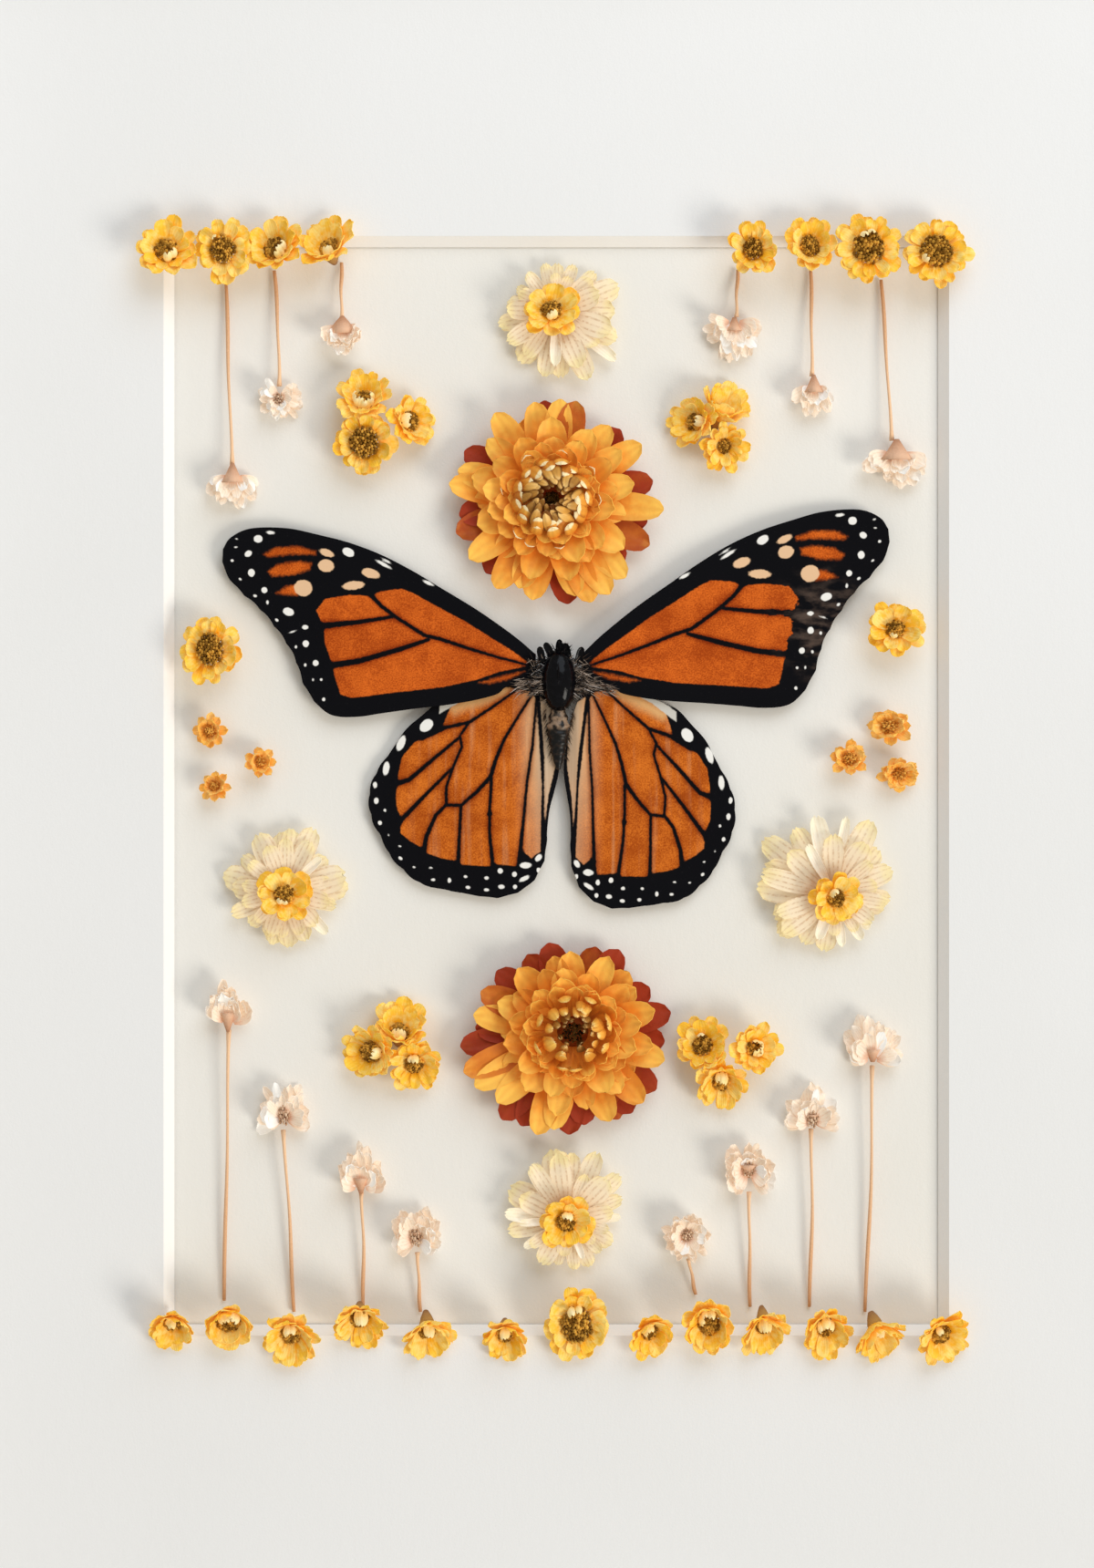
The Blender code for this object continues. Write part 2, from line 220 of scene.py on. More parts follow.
def card_finish(name, colour, worn_colour, tooth, face=None):
    """Uncoated card with faint clouds and a felt tooth, in metres. Its core shows below its face."""
    card, sockets, where = new_finish(name, Roughness=0.92, Specular_IOR_Level=0.25)
    clouds = where.noise(0.05, 2.0).ramp(0.35, 0.7)
    fibres = where.noise(0.0011, 4.0, (1.0, 0.45, 1.0))
    paper = (clouds * 0.7 + fibres * 0.3).blend(colour, worn_colour)
    if face:
        paper = where.axis(2).ramp(face - 0.08 * MM, face - 0.01 * MM).blend(CARD_CORE, paper)
    feed(paper, sockets["Base Color"])
    grain = where.noise(0.00035, 3.0) * 0.6 + fibres * 0.6
    feed(grain.bump(tooth, 0.8), sockets["Normal"])
    return card


def finish_node(node, material):
    """Gives a CAD node that is shown as it is its real finish."""
    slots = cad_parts[node].data.materials
    slots.clear()
    slots.append(material)


finish_node("mount_board", card_finish(
    "cream_card", (0.90, 0.88, 0.84), (0.87, 0.845, 0.79), 0.06 * MM))

# The window mat is white four-ply card. Its 5 x 7 in window is cut at 45 degrees, which bares the
# softer core all round the opening.
finish_node("window_mat", card_finish(
    "white_mat", (0.90, 0.90, 0.905), (0.88, 0.88, 0.88), 0.05 * MM, mat_face))

# The four rails are plain square-edged wood with a lip over the mat, mitred, glued at the corners
# and painted satin white. Brush marks run along each rail.


def paint_finish(name, along):
    """White paint over wood, with brush marks along X or Y and a few tiny nibs."""
    paint, sockets, where = new_finish(name, Specular_IOR_Level=0.45)
    stretch = (0.03, 1.0, 1.0) if along == "X" else (1.0, 0.03, 1.0)
    brush = where.noise(0.0012, 3.0, stretch)
    nibs = where.noise(0.0016, 1.0).ramp(0.74, 0.8)
    feed(where.noise(0.02, 3.0).ramp(0.3, 0.75).blend((0.84, 0.835, 0.82), (0.79, 0.785, 0.765)),
         sockets["Base Color"])
    feed(brush * 0.2 + 0.32, sockets["Roughness"])
    feed((brush + nibs * 0.7).bump(0.00012, 0.6), sockets["Normal"])
    return paint


for side in ("top", "bottom", "left", "right"):
    run = "X" if side in ("top", "bottom") else "Y"
    finish_node("frame_rail_" + side, paint_finish("painted_wood_" + side, run))

# The butterfly's wings are thin dry membranes covered in scales. Each wing is a fine grid stretched
# between its leading edge and its trailing edge; the right pair are the left pair mirrored, turned
# and fitted to their own nodes. The markings are signed distances, in mm, stored on the vertices.
# One wing is: the right one's turn in degrees; the edge, in x, that its body node hides; where its
# edges start to be scalloped; its edges; the outlines of its orange ground, of its dull cells, of its
# scaleless skin and of its faded cells; its veins as x, y, half width; and its cream and white spots as
# x, y, half width, half height, turn in degrees.
FORE = {
    "turn": 3.3,
    "inner": -3.3,
    "waves": {"trail": 0.52},
    "lead": [
        (-3.3, 21.5), (-7.0, 24.5), (-12.7, 28.4), (-18.3, 31.7), (-23.1, 34.5), (-28.3, 37.1),
        (-33.5, 39.0), (-38.7, 40.3), (-43.0, 41.2), (-47.4, 41.4), (-50.4, 41.0), (-52.8, 39.7),
        (-53.9, 38.0)],
    "trail": [
        (-3.3, 17.5), (-7.9, 16.5), (-9.6, 15.3), (-13.5, 14.3), (-17.9, 13.6), (-23.1, 13.0),
        (-28.3, 12.3), (-31.8, 11.8), (-35.2, 11.8), (-37.4, 12.6), (-39.3, 14.5), (-40.9, 17.1),
        (-42.0, 20.4), (-43.5, 23.2), (-45.4, 25.8), (-47.8, 28.6), (-50.8, 31.2), (-53.0, 33.6),
        (-54.0, 36.0)],
    "ground": [[
        (-4.5, 20.2), (-7.0, 22.0), (-10.5, 24.1), (-14.8, 26.7), (-20.0, 29.4), (-23.1, 31.1),
        (-25.0, 31.8), (-28.3, 31.4), (-30.0, 30.7), (-33.5, 30.8), (-37.4, 30.2), (-38.8, 28.4),
        (-37.6, 25.8), (-37.4, 23.2), (-36.4, 20.4), (-35.8, 18.0), (-34.9, 15.3), (-33.1, 14.7),
        (-25.7, 15.6), (-18.3, 16.4), (-12.7, 17.6), (-9.2, 18.8), (-4.5, 19.7)]],
    "veins": [
        [(-30.5, 31.4, 0.39), (-28.3, 29.1, 0.3), (-25.7, 27.2, 0.3), (-21.3, 24.5, 0.3),
         (-18.7, 23.9, 0.3), (-14.4, 22.5, 0.26), (-9.2, 21.0, 0.22), (-4.4, 19.8, 0.17)],
        [(-26.5, 27.4, 0.26), (-31.8, 26.6, 0.35), (-38.7, 25.9, 0.52)],
        [(-20.7, 23.8, 0.3), (-25.7, 22.2, 0.39), (-31.8, 20.5, 0.43), (-37.0, 19.7, 0.52)]],
    "dull": [
        [(-47.4, 37.2), (-45.4, 38.3), (-41.7, 38.5), (-38.9, 37.7), (-38.9, 37.1), (-43.0, 37.1),
         (-46.5, 36.7)],
        [(-46.7, 34.5), (-45.0, 35.7), (-41.7, 36.2), (-39.5, 35.9), (-39.7, 34.8), (-42.6, 33.9),
         (-45.9, 33.7)],
        [(-45.4, 31.1), (-43.5, 32.3), (-41.5, 32.5), (-41.7, 30.7), (-43.9, 30.8)],
        [(-12.7, 17.1), (-8.3, 18.3), (-5.1, 18.9), (-7.5, 17.6), (-10.9, 16.9)]],
    "clear": [],
    "faded": [],
    "cream": [
        (-37.1, 37.4, 1.3, 0.56, -20), (-37.2, 35.4, 1.3, 1.0, -10), (-30.0, 34.2, 1.5, 0.74, -15),
        (-32.8, 32.3, 1.8, 0.69, 5), (-40.9, 31.9, 1.5, 1.3, -10)],
    "white": [
        (-33.6, 37.5, 1.0, 0.65, -25), (-27.9, 35.6, 1.4, 0.26, -28), (-27.4, 36.1, 0.9, 0.17, -28),
        (-20.7, 32.7, 0.95, 0.26, -25), (-46.2, 40.6, 0.7, 0.26, -5), (-48.2, 39.6, 0.7, 0.61, 0),
        (-49.8, 37.3, 0.61, 0.48, 30), (-49.3, 34.3, 0.56, 0.61, 0), (-47.2, 31.6, 0.48, 0.48, 0),
        (-43.3, 28.2, 0.91, 0.61, -15), (-40.6, 25.8, 0.52, 0.35, 0), (-40.5, 23.2, 0.52, 0.52, 0),
        (-38.9, 20.2, 0.48, 0.48, -30), (-38.0, 17.6, 0.22, 0.22, 0), (-37.6, 14.5, 0.26, 0.3, 0),
        (-51.7, 39.6, 0.26, 0.13, -20), (-51.8, 38.3, 0.26, 0.13, 0), (-52.4, 36.2, 0.26, 0.22, 0),
        (-51.1, 33.3, 0.26, 0.17, -30), (-48.7, 30.7, 0.3, 0.22, -20), (-46.7, 29.7, 0.22, 0.35, 0),
        (-45.2, 26.9, 0.3, 0.22, -30), (-42.6, 25.1, 0.61, 0.13, 20), (-42.1, 22.7, 0.22, 0.26, 0),
        (-40.6, 19.9, 0.22, 0.26, 0), (-39.3, 17.6, 0.17, 0.26, 0)],
}
HIND = {
    "turn": -4.0,
    "inner": -1.9,
    "waves": {"lead": 0.42, "trail": 0.55},
    "lead": [
        (-4.2, 15.2), (-8.3, 15.2), (-12.7, 14.6), (-16.6, 13.6), (-19.2, 12.7), (-21.8, 10.6),
        (-24.4, 8.4), (-26.5, 5.4), (-28.7, 2.4), (-30.0, -0.2), (-30.4, -3.1), (-29.8, -6.1),
        (-28.3, -8.9), (-27.0, -11.5), (-24.8, -13.9), (-22.2, -15.9), (-19.2, -16.7), (-15.7, -17.4)],
    "trail": [
        (-2.0, 14.3), (-0.7, 10.6), (0.0, 6.3), (0.3, 2.2), (-0.5, -1.5), (-1.2, -4.1),
        (-1.6, -7.2), (-1.8, -10.6), (-2.6, -13.5), (-4.4, -16.1), (-7.0, -17.6), (-9.6, -18.2),
        (-12.7, -18.0)],
    "ground": [[
        (-7.5, 15.0), (-10.1, 15.3), (-14.4, 13.9), (-16.8, 12.8), (-18.0, 10.1), (-18.7, 8.4),
        (-23.1, 6.3), (-25.0, 4.1), (-25.6, 1.5), (-26.0, -1.5), (-26.0, -3.7), (-25.2, -5.7),
        (-25.3, -8.0), (-23.7, -9.3), (-21.7, -10.4), (-21.1, -11.2), (-18.7, -12.0), (-16.4, -12.4),
        (-15.7, -13.0), (-10.7, -13.3), (-10.1, -12.9), (-6.4, -13.3), (-5.5, -10.9), (-4.2, -12.0),
        (-2.7, -10.9), (-2.6, -4.6), (-2.5, -0.2), (-2.9, 6.3), (-3.3, 12.8), (-4.0, 14.3)],
        [(-2.8, 13.6), (-1.2, 12.6), (-0.1, 7.1), (-0.2, 3.0), (-1.4, -2.0), (-2.0, -6.4), (-2.1, -4.6),
         (-2.1, 4.1)]],
    "veins": [
        [(-6.6, 14.6, 0.17), (-10.5, 11.9, 0.22), (-14.2, 9.5, 0.26), (-17.9, 8.7, 0.3),
         (-21.8, 7.1, 0.43)],
        [(-14.2, 9.5, 0.22), (-15.7, 7.4, 0.22), (-15.4, 5.6, 0.22), (-16.8, 2.4, 0.22),
         (-17.9, -0.7, 0.22), (-17.9, -3.5, 0.26)],
        [(-15.8, 7.1, 0.22), (-20.0, 3.7, 0.3), (-23.9, 0.4, 0.35), (-26.1, -0.2, 0.43)],
        [(-17.0, 2.2, 0.22), (-21.3, -2.0, 0.3), (-25.5, -6.3, 0.39)],
        [(-17.9, -3.5, 0.26), (-19.6, -5.2, 0.3), (-21.1, -8.5, 0.35), (-21.6, -11.1, 0.43)],
        [(-17.9, -3.6, 0.26), (-15.5, -3.6, 0.26), (-13.1, -1.6, 0.3), (-10.8, 0.8, 0.35),
         (-9.9, 3.7, 0.3), (-8.5, 6.9, 0.26), (-6.2, 10.6, 0.22), (-3.8, 14.3, 0.17)],
        [(-15.5, -3.7, 0.26), (-15.8, -8.5, 0.26), (-16.0, -13.2, 0.35)],
        [(-10.6, 0.6, 0.26), (-10.9, -4.1, 0.26), (-10.9, -8.0, 0.26), (-10.4, -13.2, 0.35)],
        [(-3.4, 12.8, 0.17), (-4.0, 5.8, 0.22), (-4.9, -0.2, 0.22), (-5.5, -6.3, 0.26),
         (-6.2, -13.2, 0.39)],
        [(-10.9, -4.2, 0.1), (-10.9, -5.0, 0.45), (-10.9, -5.9, 0.1)]],
    "dull": [],
    "clear": [[
        (-18.9, 12.4), (-16.0, 13.9), (-13.3, 14.6), (-8.8, 15.2), (-11.2, 14.7), (-14.6, 13.4),
        (-17.0, 12.0), (-19.0, 10.9)]],
    "faded": [[
        (-7.0, 15.6), (-13.0, 14.4), (-17.6, 11.9), (-16.6, 11.0), (-12.2, 12.4), (-8.4, 14.0)]],
    "cream": [],
    "white": [
        (-21.1, 9.0, 1.2, 0.87, 40), (-25.2, 6.2, 0.61, 1.3, -25), (-27.6, 2.2, 0.52, 1.1, -10),
        (-29.4, -0.4, 0.35, 0.52, 0), (-29.2, -2.9, 0.39, 0.52, 0), (-27.8, -4.4, 0.26, 0.26, 0),
        (-28.6, -6.4, 0.35, 0.35, 0), (-27.2, -8.3, 0.17, 0.17, 0), (-25.4, -10.1, 0.26, 0.17, 0),
        (-25.3, -12.0, 0.35, 0.26, -30), (-23.1, -13.4, 0.26, 0.17, 0), (-20.4, -13.5, 0.3, 0.17, 0),
        (-20.0, -15.4, 0.35, 0.22, 0), (-17.4, -15.5, 0.3, 0.39, 0), (-14.8, -14.9, 0.3, 0.22, 0),
        (-14.4, -16.6, 0.39, 0.26, 0), (-11.4, -15.1, 0.39, 0.26, 0), (-11.4, -17.0, 0.43, 0.26, 0),
        (-9.2, -14.0, 0.43, 0.43, 0), (-9.0, -16.5, 0.52, 0.35, 0), (-6.9, -14.5, 0.39, 0.43, 0),
        (-6.8, -16.5, 0.35, 0.35, 0), (-5.1, -13.1, 0.95, 0.48, 0), (-5.3, -15.2, 0.95, 0.35, 25),
        (-3.0, -11.9, 0.69, 0.43, 45), (-3.0, -13.9, 0.35, 0.43, 30)],
}
WING_SHEET = 0.12
WAVE_LENGTH = 3.4
WAVE_DEPTH = 0.2
FAR = 1e9
TINY = 1e-9
BODY_LINE = 0.0004
WING_HEIGHT = 0.006


def line_walk(points):
    """How far along a line each of its points is."""
    return np.concatenate([[0.0], np.cumsum(np.linalg.norm(np.diff(points, axis=0), axis=1))])


def smooth_line(points, count):
    """`count` evenly spaced points on a smooth curve through `points`."""
    points = np.array(points, float)
    ends = np.vstack([2 * points[0] - points[1], points, 2 * points[-1] - points[-2]])
    fine = []
    for p0, p1, p2, p3 in zip(ends, ends[1:], ends[2:], ends[3:]):
        for t in np.linspace(0.0, 1.0, 16, endpoint=False):
            fine.append(0.5 * (2 * p1 + (p2 - p0) * t + (2 * p0 - 5 * p1 + 4 * p2 - p3) * t ** 2
                               + (3 * p1 - p0 - 3 * p2 + p3) * t ** 3))
    fine = np.array(fine + [points[-1]])
    walk = line_walk(fine)
    even = np.linspace(0.0, walk[-1], count)
    return np.stack([np.interp(even, walk, fine[:, axis]) for axis in (0, 1)], axis=1)


def line_distance(spots, start, end):
    """Distance of each spot from one straight stretch, and how far along it the nearest point is."""
    run = end - start
    along = np.clip((spots - start) @ run / max(run @ run, TINY), 0.0, 1.0)
    return np.linalg.norm(spots - start - along[:, None] * run, axis=1), along


def outline_distance(spots, outline):
    """Signed distance from a closed outline, negative inside it."""
    corners = np.array(outline, float)
    nearest = np.full(len(spots), FAR)
    inside = np.zeros(len(spots), bool)
    for start, end in zip(corners, np.roll(corners, -1, axis=0)):
        nearest = np.minimum(nearest, line_distance(spots, start, end)[0])
        crosses = (start[1] > spots[:, 1]) != (end[1] > spots[:, 1])
        slope = (end[0] - start[0]) / (end[1] - start[1] or TINY)
        inside ^= crosses & (spots[:, 0] < start[0] + (spots[:, 1] - start[1]) * slope)
    return np.where(inside, -nearest, nearest)


def nearest_outline(spots, outlines):
    """Signed distance from the nearest of several closed outlines."""
    nearest = np.full(len(spots), FAR)
    for outline in outlines:
        nearest = np.minimum(nearest, outline_distance(spots, outline))
    return nearest


def vein_distance(spots, veins):
    """Signed distance from the edge of the nearest vein; each point of a vein has a half width."""
    nearest = np.full(len(spots), FAR)
    for vein in veins:
        for (x0, y0, half0), (x1, y1, half1) in zip(vein, vein[1:]):
            away, along = line_distance(spots, np.array((x0, y0)), np.array((x1, y1)))
            nearest = np.minimum(nearest, away - half0 - (half1 - half0) * along)
    return nearest


def spot_distance(spots, ovals):
    """Signed distance, near enough, from the edge of the nearest oval spot."""
    nearest = np.full(len(spots), FAR)
    for x, y, half_x, half_y, turn in ovals:
        c, s = math.cos(math.radians(turn)), math.sin(math.radians(turn))
        offset = spots - np.array((x, y))
        along, across = offset @ np.array((c, s)), offset @ np.array((-s, c))
        reach = np.sqrt((along / half_x) ** 2 + (across / half_y) ** 2)
        nearest = np.minimum(nearest, (reach - 1.0) * min(half_x, half_y))
    return nearest


def soft_max(first, second, rounding):
    """The larger of two distances, with the corner between them rounded."""
    mix = np.clip(0.5 + 0.5 * (first - second) / rounding, 0.0, 1.0)
    return second * (1 - mix) + first * mix + rounding * mix * (1 - mix)


def wing_markings(spots, wing):
    """The distances that the wing material reads, at each spot."""
    veins = vein_distance(spots, wing["veins"])
    marks = {name: nearest_outline(spots, wing[name]) for name in ("dull", "clear", "faded")}
    marks |= {name: spot_distance(spots, wing[name]) for name in ("cream", "white")}
    ground = soft_max(nearest_outline(spots, wing["ground"]), -veins, 0.5)
    return marks | {"vein": veins, "ground": ground}


def fit_wing(spots, outline, wing, node):
    """Turns and mirrors the left wing's layout, if it is a right wing, and fits it to its CAD node."""
    low, high = (np.array(corner[:2]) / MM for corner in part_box(node))
    edge = np.minimum(outline, (wing["inner"], FAR))
    if node.startswith("right"):
        c, s = math.cos(math.radians(wing["turn"])), math.sin(math.radians(wing["turn"]))
        mirror_and_turn = np.array([[-c, -s], [-s, c]])
        spots, edge = spots @ mirror_and_turn, edge @ mirror_and_turn
    start, end = edge.min(axis=0), edge.max(axis=0)
    return low + (spots - start) / (end - start) * (high - low)


def scalloped(line, start):
    """The last part of an edge, drawn out into shallow scallops between the vein ends."""
    step = np.gradient(line, axis=0)
    step /= np.linalg.norm(step, axis=1)[:, None]
    walk = line_walk(line)
    share = walk / walk[-1]
    fade = np.clip((share - start) * 12.0, 0.0, 1.0) * np.clip((1 - share) * 12.0, 0.0, 1.0)
    wave = (np.abs(np.sin(math.pi * walk / WAVE_LENGTH)) - 0.6) * WAVE_DEPTH * fade
    return line + np.stack([step[:, 1], -step[:, 0]], axis=1) * wave[:, None]


def make_wing(node, wing, columns, rows, material):
    """A wing in place of its CAD node: a pleated sheet, ribbed along its veins, with its markings."""
    edges = {}
    for edge in ("lead", "trail"):
        edges[edge] = smooth_line(wing[edge], columns + 1)
        if edge in wing["waves"]:
            edges[edge] = scalloped(edges[edge], wing["waves"][edge])
    bm = bmesh.new()
    bmesh.ops.create_grid(bm, x_segments=columns, y_segments=rows, size=0.5)
    mesh = bpy.data.meshes.new(node + "_scaled")
    bm.to_mesh(mesh)
    bm.free()
    flat = np.zeros(len(mesh.vertices) * 3)
    mesh.vertices.foreach_get("co", flat)
    along, across = flat.reshape(-1, 3)[:, :2].T + 0.5
    even = np.linspace(0.0, 1.0, columns + 1)
    lead, trail = (
        np.stack([np.interp(along, even, edges[edge][:, axis]) for axis in (0, 1)], axis=1)
        for edge in ("lead", "trail"))
    spots = lead * (1 - across)[:, None] + trail * across[:, None]
    marks = wing_markings(spots, wing)
    placed = fit_wing(spots, np.vstack([edges["lead"], edges["trail"]]), wing, node)
    low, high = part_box(node)
    outer, inner = (low.x, high.x) if node.startswith("left") else (high.x, low.x)
    toward_body = np.clip((placed[:, 0] * MM - outer) / (inner - outer), 0.0, 1.0)
    rib = np.exp(-(marks["vein"] / 0.3) ** 2) * 0.05
    pleat = 0.10 * np.sin(placed[:, 0] * 0.32 + placed[:, 1] * 0.21) + 0.05 * np.sin(placed[:, 1] * 0.9)
    lift = (low.z + (high.z - low.z) * (0.2 + 0.6 * toward_body)) / MM + rib + pleat
    mesh.vertices.foreach_set("co", (np.column_stack([placed, lift]) * MM).ravel())
    for mark, distance in marks.items():
        mesh.attributes.new(mark, "FLOAT", "POINT").data.foreach_set("value", distance)
    if mesh.polygons[0].normal.z < 0:
        mesh.flip_normals()
    mesh.shade_smooth()
    mesh.materials.append(material)
    sheet = bpy.data.objects.new(node + "_scaled", mesh)
    bpy.context.scene.collection.objects.link(sheet)
    skin = sheet.modifiers.new("Membrane", "SOLIDIFY")
    skin.thickness = WING_SHEET * MM
    skin.offset = 0.0
    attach(sheet, "root")
    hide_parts(node)


def wing_finish(name, deep, bright, pale_toward=None, worn=None):
    """Scales: orange cells between black veins, cream and white spots, and rubbed or faded places.
    They thin out to bare skin beside the body between two distances from it, in metres. A worn patch
    is at x, y and has a radius, in mm."""
    scales, sockets, where = new_finish(name, Roughness=0.75, Specular_IOR_Level=0.06)
    dust = where.noise(0.00022, 2.0)
    ragged = (where.noise(0.0005, 3.0) - 0.5) * 0.28
    clouds = where.noise(0.004, 3.0)
    orange = (clouds * 0.6 + dust * 0.75 - 0.18).ramp(0.3, 0.75).blend(deep, bright)
    if pale_toward:
        # Painted shade: lengthwise darker and paler streaks beside the body stand in for the light and shade
        # on the creased inner margin, as well as its own streaked colour.
        fold_shade = where.noise(0.0011, 2.0, (1.0, 0.04, 1.0))
        beside_body = abs(where.axis(0) - BODY_LINE)
        near_root = where.axis(1).ramp(-0.012, 0.010) * 0.65 + 0.35
        streaks = beside_body.ramp(*(4 * edge for edge in pale_toward)) * fold_shade.ramp(0.5, 0.75)
        pale = beside_body.ramp(*pale_toward) * near_root * 0.85 + streaks * 0.22
        orange = pale.blend(orange, (0.86, 0.54, 0.29))
        skin = fold_shade.ramp(0.35, 0.7).blend((0.42, 0.30, 0.20), (0.66, 0.52, 0.38))
        orange = (beside_body.ramp(0.0044, 0.0024) * near_root * 0.9).blend(orange, skin)
    faded = (attribute(where, "faded") + clouds * 1.2).ramp(1.6, -0.4)
    orange = (faded * 0.8).blend(orange, (0.86, 0.52, 0.22))
    dusky = orange.node(
        "ShaderNodeMix", {"data_type": "RGBA", "blend_type": "MULTIPLY"},
        {0: 1.0, 6: orange, 7: (0.58, 0.44, 0.36, 1.0)}, 2)
    orange = (attribute(where, "vein") + clouds * 0.5).ramp(0.1, 1.0).blend(dusky, orange)
    black = (dust.ramp(0.66, 0.8) * 0.4).blend((0.0035, 0.0035, 0.005), (0.04, 0.036, 0.042))
    inside = attribute(where, "ground") + ragged
    if worn:
        x, y, radius = (value * MM for value in worn)
        away = where.node(
            "ShaderNodeVectorMath", {"operation": "DISTANCE"}, {0: where, 1: (x, y, WING_HEIGHT)}, 1)
        rubbed = (away + (clouds - 0.5) * 0.004).ramp(radius, radius * 0.3)
        scratch = where.noise(0.0014, 4.0, (0.5, 1.0, 1.0)).ramp(0.40, 0.75)
        black = (rubbed * scratch * 0.7).blend(black, (0.13, 0.088, 0.068))
        inside = inside - rubbed * (where.noise(0.0012, 4.0) - 0.5) * 2.6
    colour = inside.ramp(-0.14, 0.10).blend(orange, black)
    for mark, roughness, start, end, shade in (
            ("dull", 2.2, -0.5, 0.25, orange), ("clear", 1.0, -0.1, 0.15, (0.66, 0.63, 0.57)),
            ("cream", 1.0, -0.12, 0.08, (0.84, 0.55, 0.33)), ("white", 0.6, -0.09, 0.07, (0.92, 0.90, 0.86))):
        colour = (attribute(where, mark) + ragged * roughness).ramp(start, end).blend(shade, colour)
    feed(colour, sockets["Base Color"])
    feed((dust * 0.6 + where.noise(0.0009, 2.0) * 0.4).bump(0.00004, 0.7), sockets["Normal"])
    return scales


FORE_ORANGE = (0.40, 0.058, 0.005), (0.79, 0.160, 0.017)
HIND_ORANGE = (0.40, 0.070, 0.005), (0.78, 0.200, 0.021)
hind_finish = wing_finish("hindwing_scales", *HIND_ORANGE, (0.0078, 0.003))
for side, worn in (("left", None), ("right", (43.0, 26.0, 11.0))):
    fore_finish = wing_finish(side + "_forewing_scales", *FORE_ORANGE, worn=worn)
    make_wing(side + "_forewing", FORE, 250, 120, fore_finish)
    make_wing(side + "_hindwing", HIND, 190, 130, hind_finish)

# The yellow flowers are dried star flowers, glued down whole. Each has two rings of round-ended
# petals round a disc of brown florets, over a tan cone of bracts, and a few small pale inner petals
# often stay folded over the disc. Heads that lean show their cone on one side.
PETAL_SHEET = 0.09
# Painted glow: thin petals and bracts give off this share of their own colour as light, standing in for light
# shining through them from behind.
PAINTED_GLOW = 0.10  # what shines through dry petals from behind, as a share of their colour
GOLDEN_TURN = math.radians(137.508)
WIDEST = 0.62  # how far out a petal is widest, as a share of its length
SHARP = 0.9
dice = random.Random(7)


def box_mm(node):
    """The low and high corners of a CAD node's box, in mm."""
    return [Vector(corner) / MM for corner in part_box(node)]


def new_flower():
    """A bmesh with the numbers that petal materials read, per vertex."""
    bm = bmesh.new()
    for name in ("along", "across", "tone"):
        bm.verts.layers.float.new(name)
    return bm


def dress(faces, kind):
    """Makes faces smooth and gives them the finish with this number."""
    for face in faces:
        face.material_index = kind
        face.smooth = True


def add_petal(bm, place, length, width, rise, curl, cup, kind=0, tip=0.45, base=0.45, steps=(6, 4),
              wobble=0.05, rounding=0.16):
    """One petal from the origin of `place` along its X, bent upward by `curl` and cupped across."""
    along, across, tone = (bm.verts.layers.float[name] for name in ("along", "across", "tone"))
    made = bmesh.ops.create_grid(bm, x_segments=steps[0], y_segments=steps[1], size=0.5)["verts"]
    shade, phase, twist = dice.random(), dice.uniform(0, math.tau), dice.uniform(-0.12, 0.12)
    bend = curl if abs(curl) > 0.01 else 0.01
    for vert in made:
        t, s = 1.0 - (0.5 - vert.co.x) ** 1.45, vert.co.y * 2.0
        vert[along], vert[across], vert[tone] = t, s, shade
        swell = math.sin(math.pi * min(t / WIDEST, 1.0) / 2)
        half = width / 2 * (base + (1 - base) * swell)
        if t > WIDEST:
            fall = (t - WIDEST) / (1 - WIDEST)
            half *= tip + (1 - tip) * math.sqrt(max(1 - fall * fall, 0.0))
        angle = rise + bend * t
        reach = length * (math.sin(angle) - math.sin(rise)) / bend
        lift = length * (math.cos(rise) - math.cos(angle)) / bend
        raised = cup * half * (s * s - 0.3) + wobble * length * math.sin(phase + 5 * t + 2.5 * s) * t
        reach -= math.sin(angle) * raised + rounding * width * s * s * t ** 6
        lift += math.cos(angle) * raised + twist * s * half * t
        vert.co = place @ Vector((reach, half * s, lift))
    faces = {face for vert in made for face in vert.link_faces}
    dress(faces, kind)
    return faces


def ring_place(azimuth, radius, height):
    """A place out from the middle of a head, with its X outward."""
    return Matrix.Rotation(azimuth, 4, "Z") @ Matrix.Translation((radius, 0.0, height))


def add_beads(bm, count, radius, height, bead, kind, dome):
    """A disc of florets in a sunflower spiral, higher in the middle."""
    tone, along = bm.verts.layers.float["tone"], bm.verts.layers.float["along"]
    for index in range(count):
        out = math.sqrt((index + 0.5) / count)
        azimuth = index * GOLDEN_TURN
        z = height + dome * (1 - out * out) + dice.uniform(-0.12, 0.12)
        size = bead * dice.uniform(0.8, 1.2)
        x, y = out * radius * math.cos(azimuth), out * radius * math.sin(azimuth)
        place = Matrix.Translation((x, y, z)) @ Matrix.Diagonal((size, size, size * 1.7, 1.0))
        made = bmesh.ops.create_icosphere(bm, subdivisions=1, radius=1.0, matrix=place)["verts"]
        shade = dice.random()
        for vert in made:
            vert[tone] = shade
            vert[along] = out
            for face in vert.link_faces:
                face.material_index = kind


def spun_shell(bm, points, axis, steps):
    """A closed shell spun from a line of points about an axis through the origin."""
    line = [bm.verts.new(point) for point in points]
    line += [bm.edges.new(pair) for pair in zip(line, line[1:])]
    before = set(bm.faces)
    bmesh.ops.spin(bm, geom=line, axis=axis, cent=(0, 0, 0), angle=math.tau, steps=steps, use_merge=True)
    made = [face for face in bm.faces if face not in before]
    rims = {edge for face in made for edge in face.edges if edge.is_boundary}
    made += bmesh.ops.holes_fill(bm, edges=list(rims))["faces"]
    bmesh.ops.recalc_face_normals(bm, faces=made)
    return made


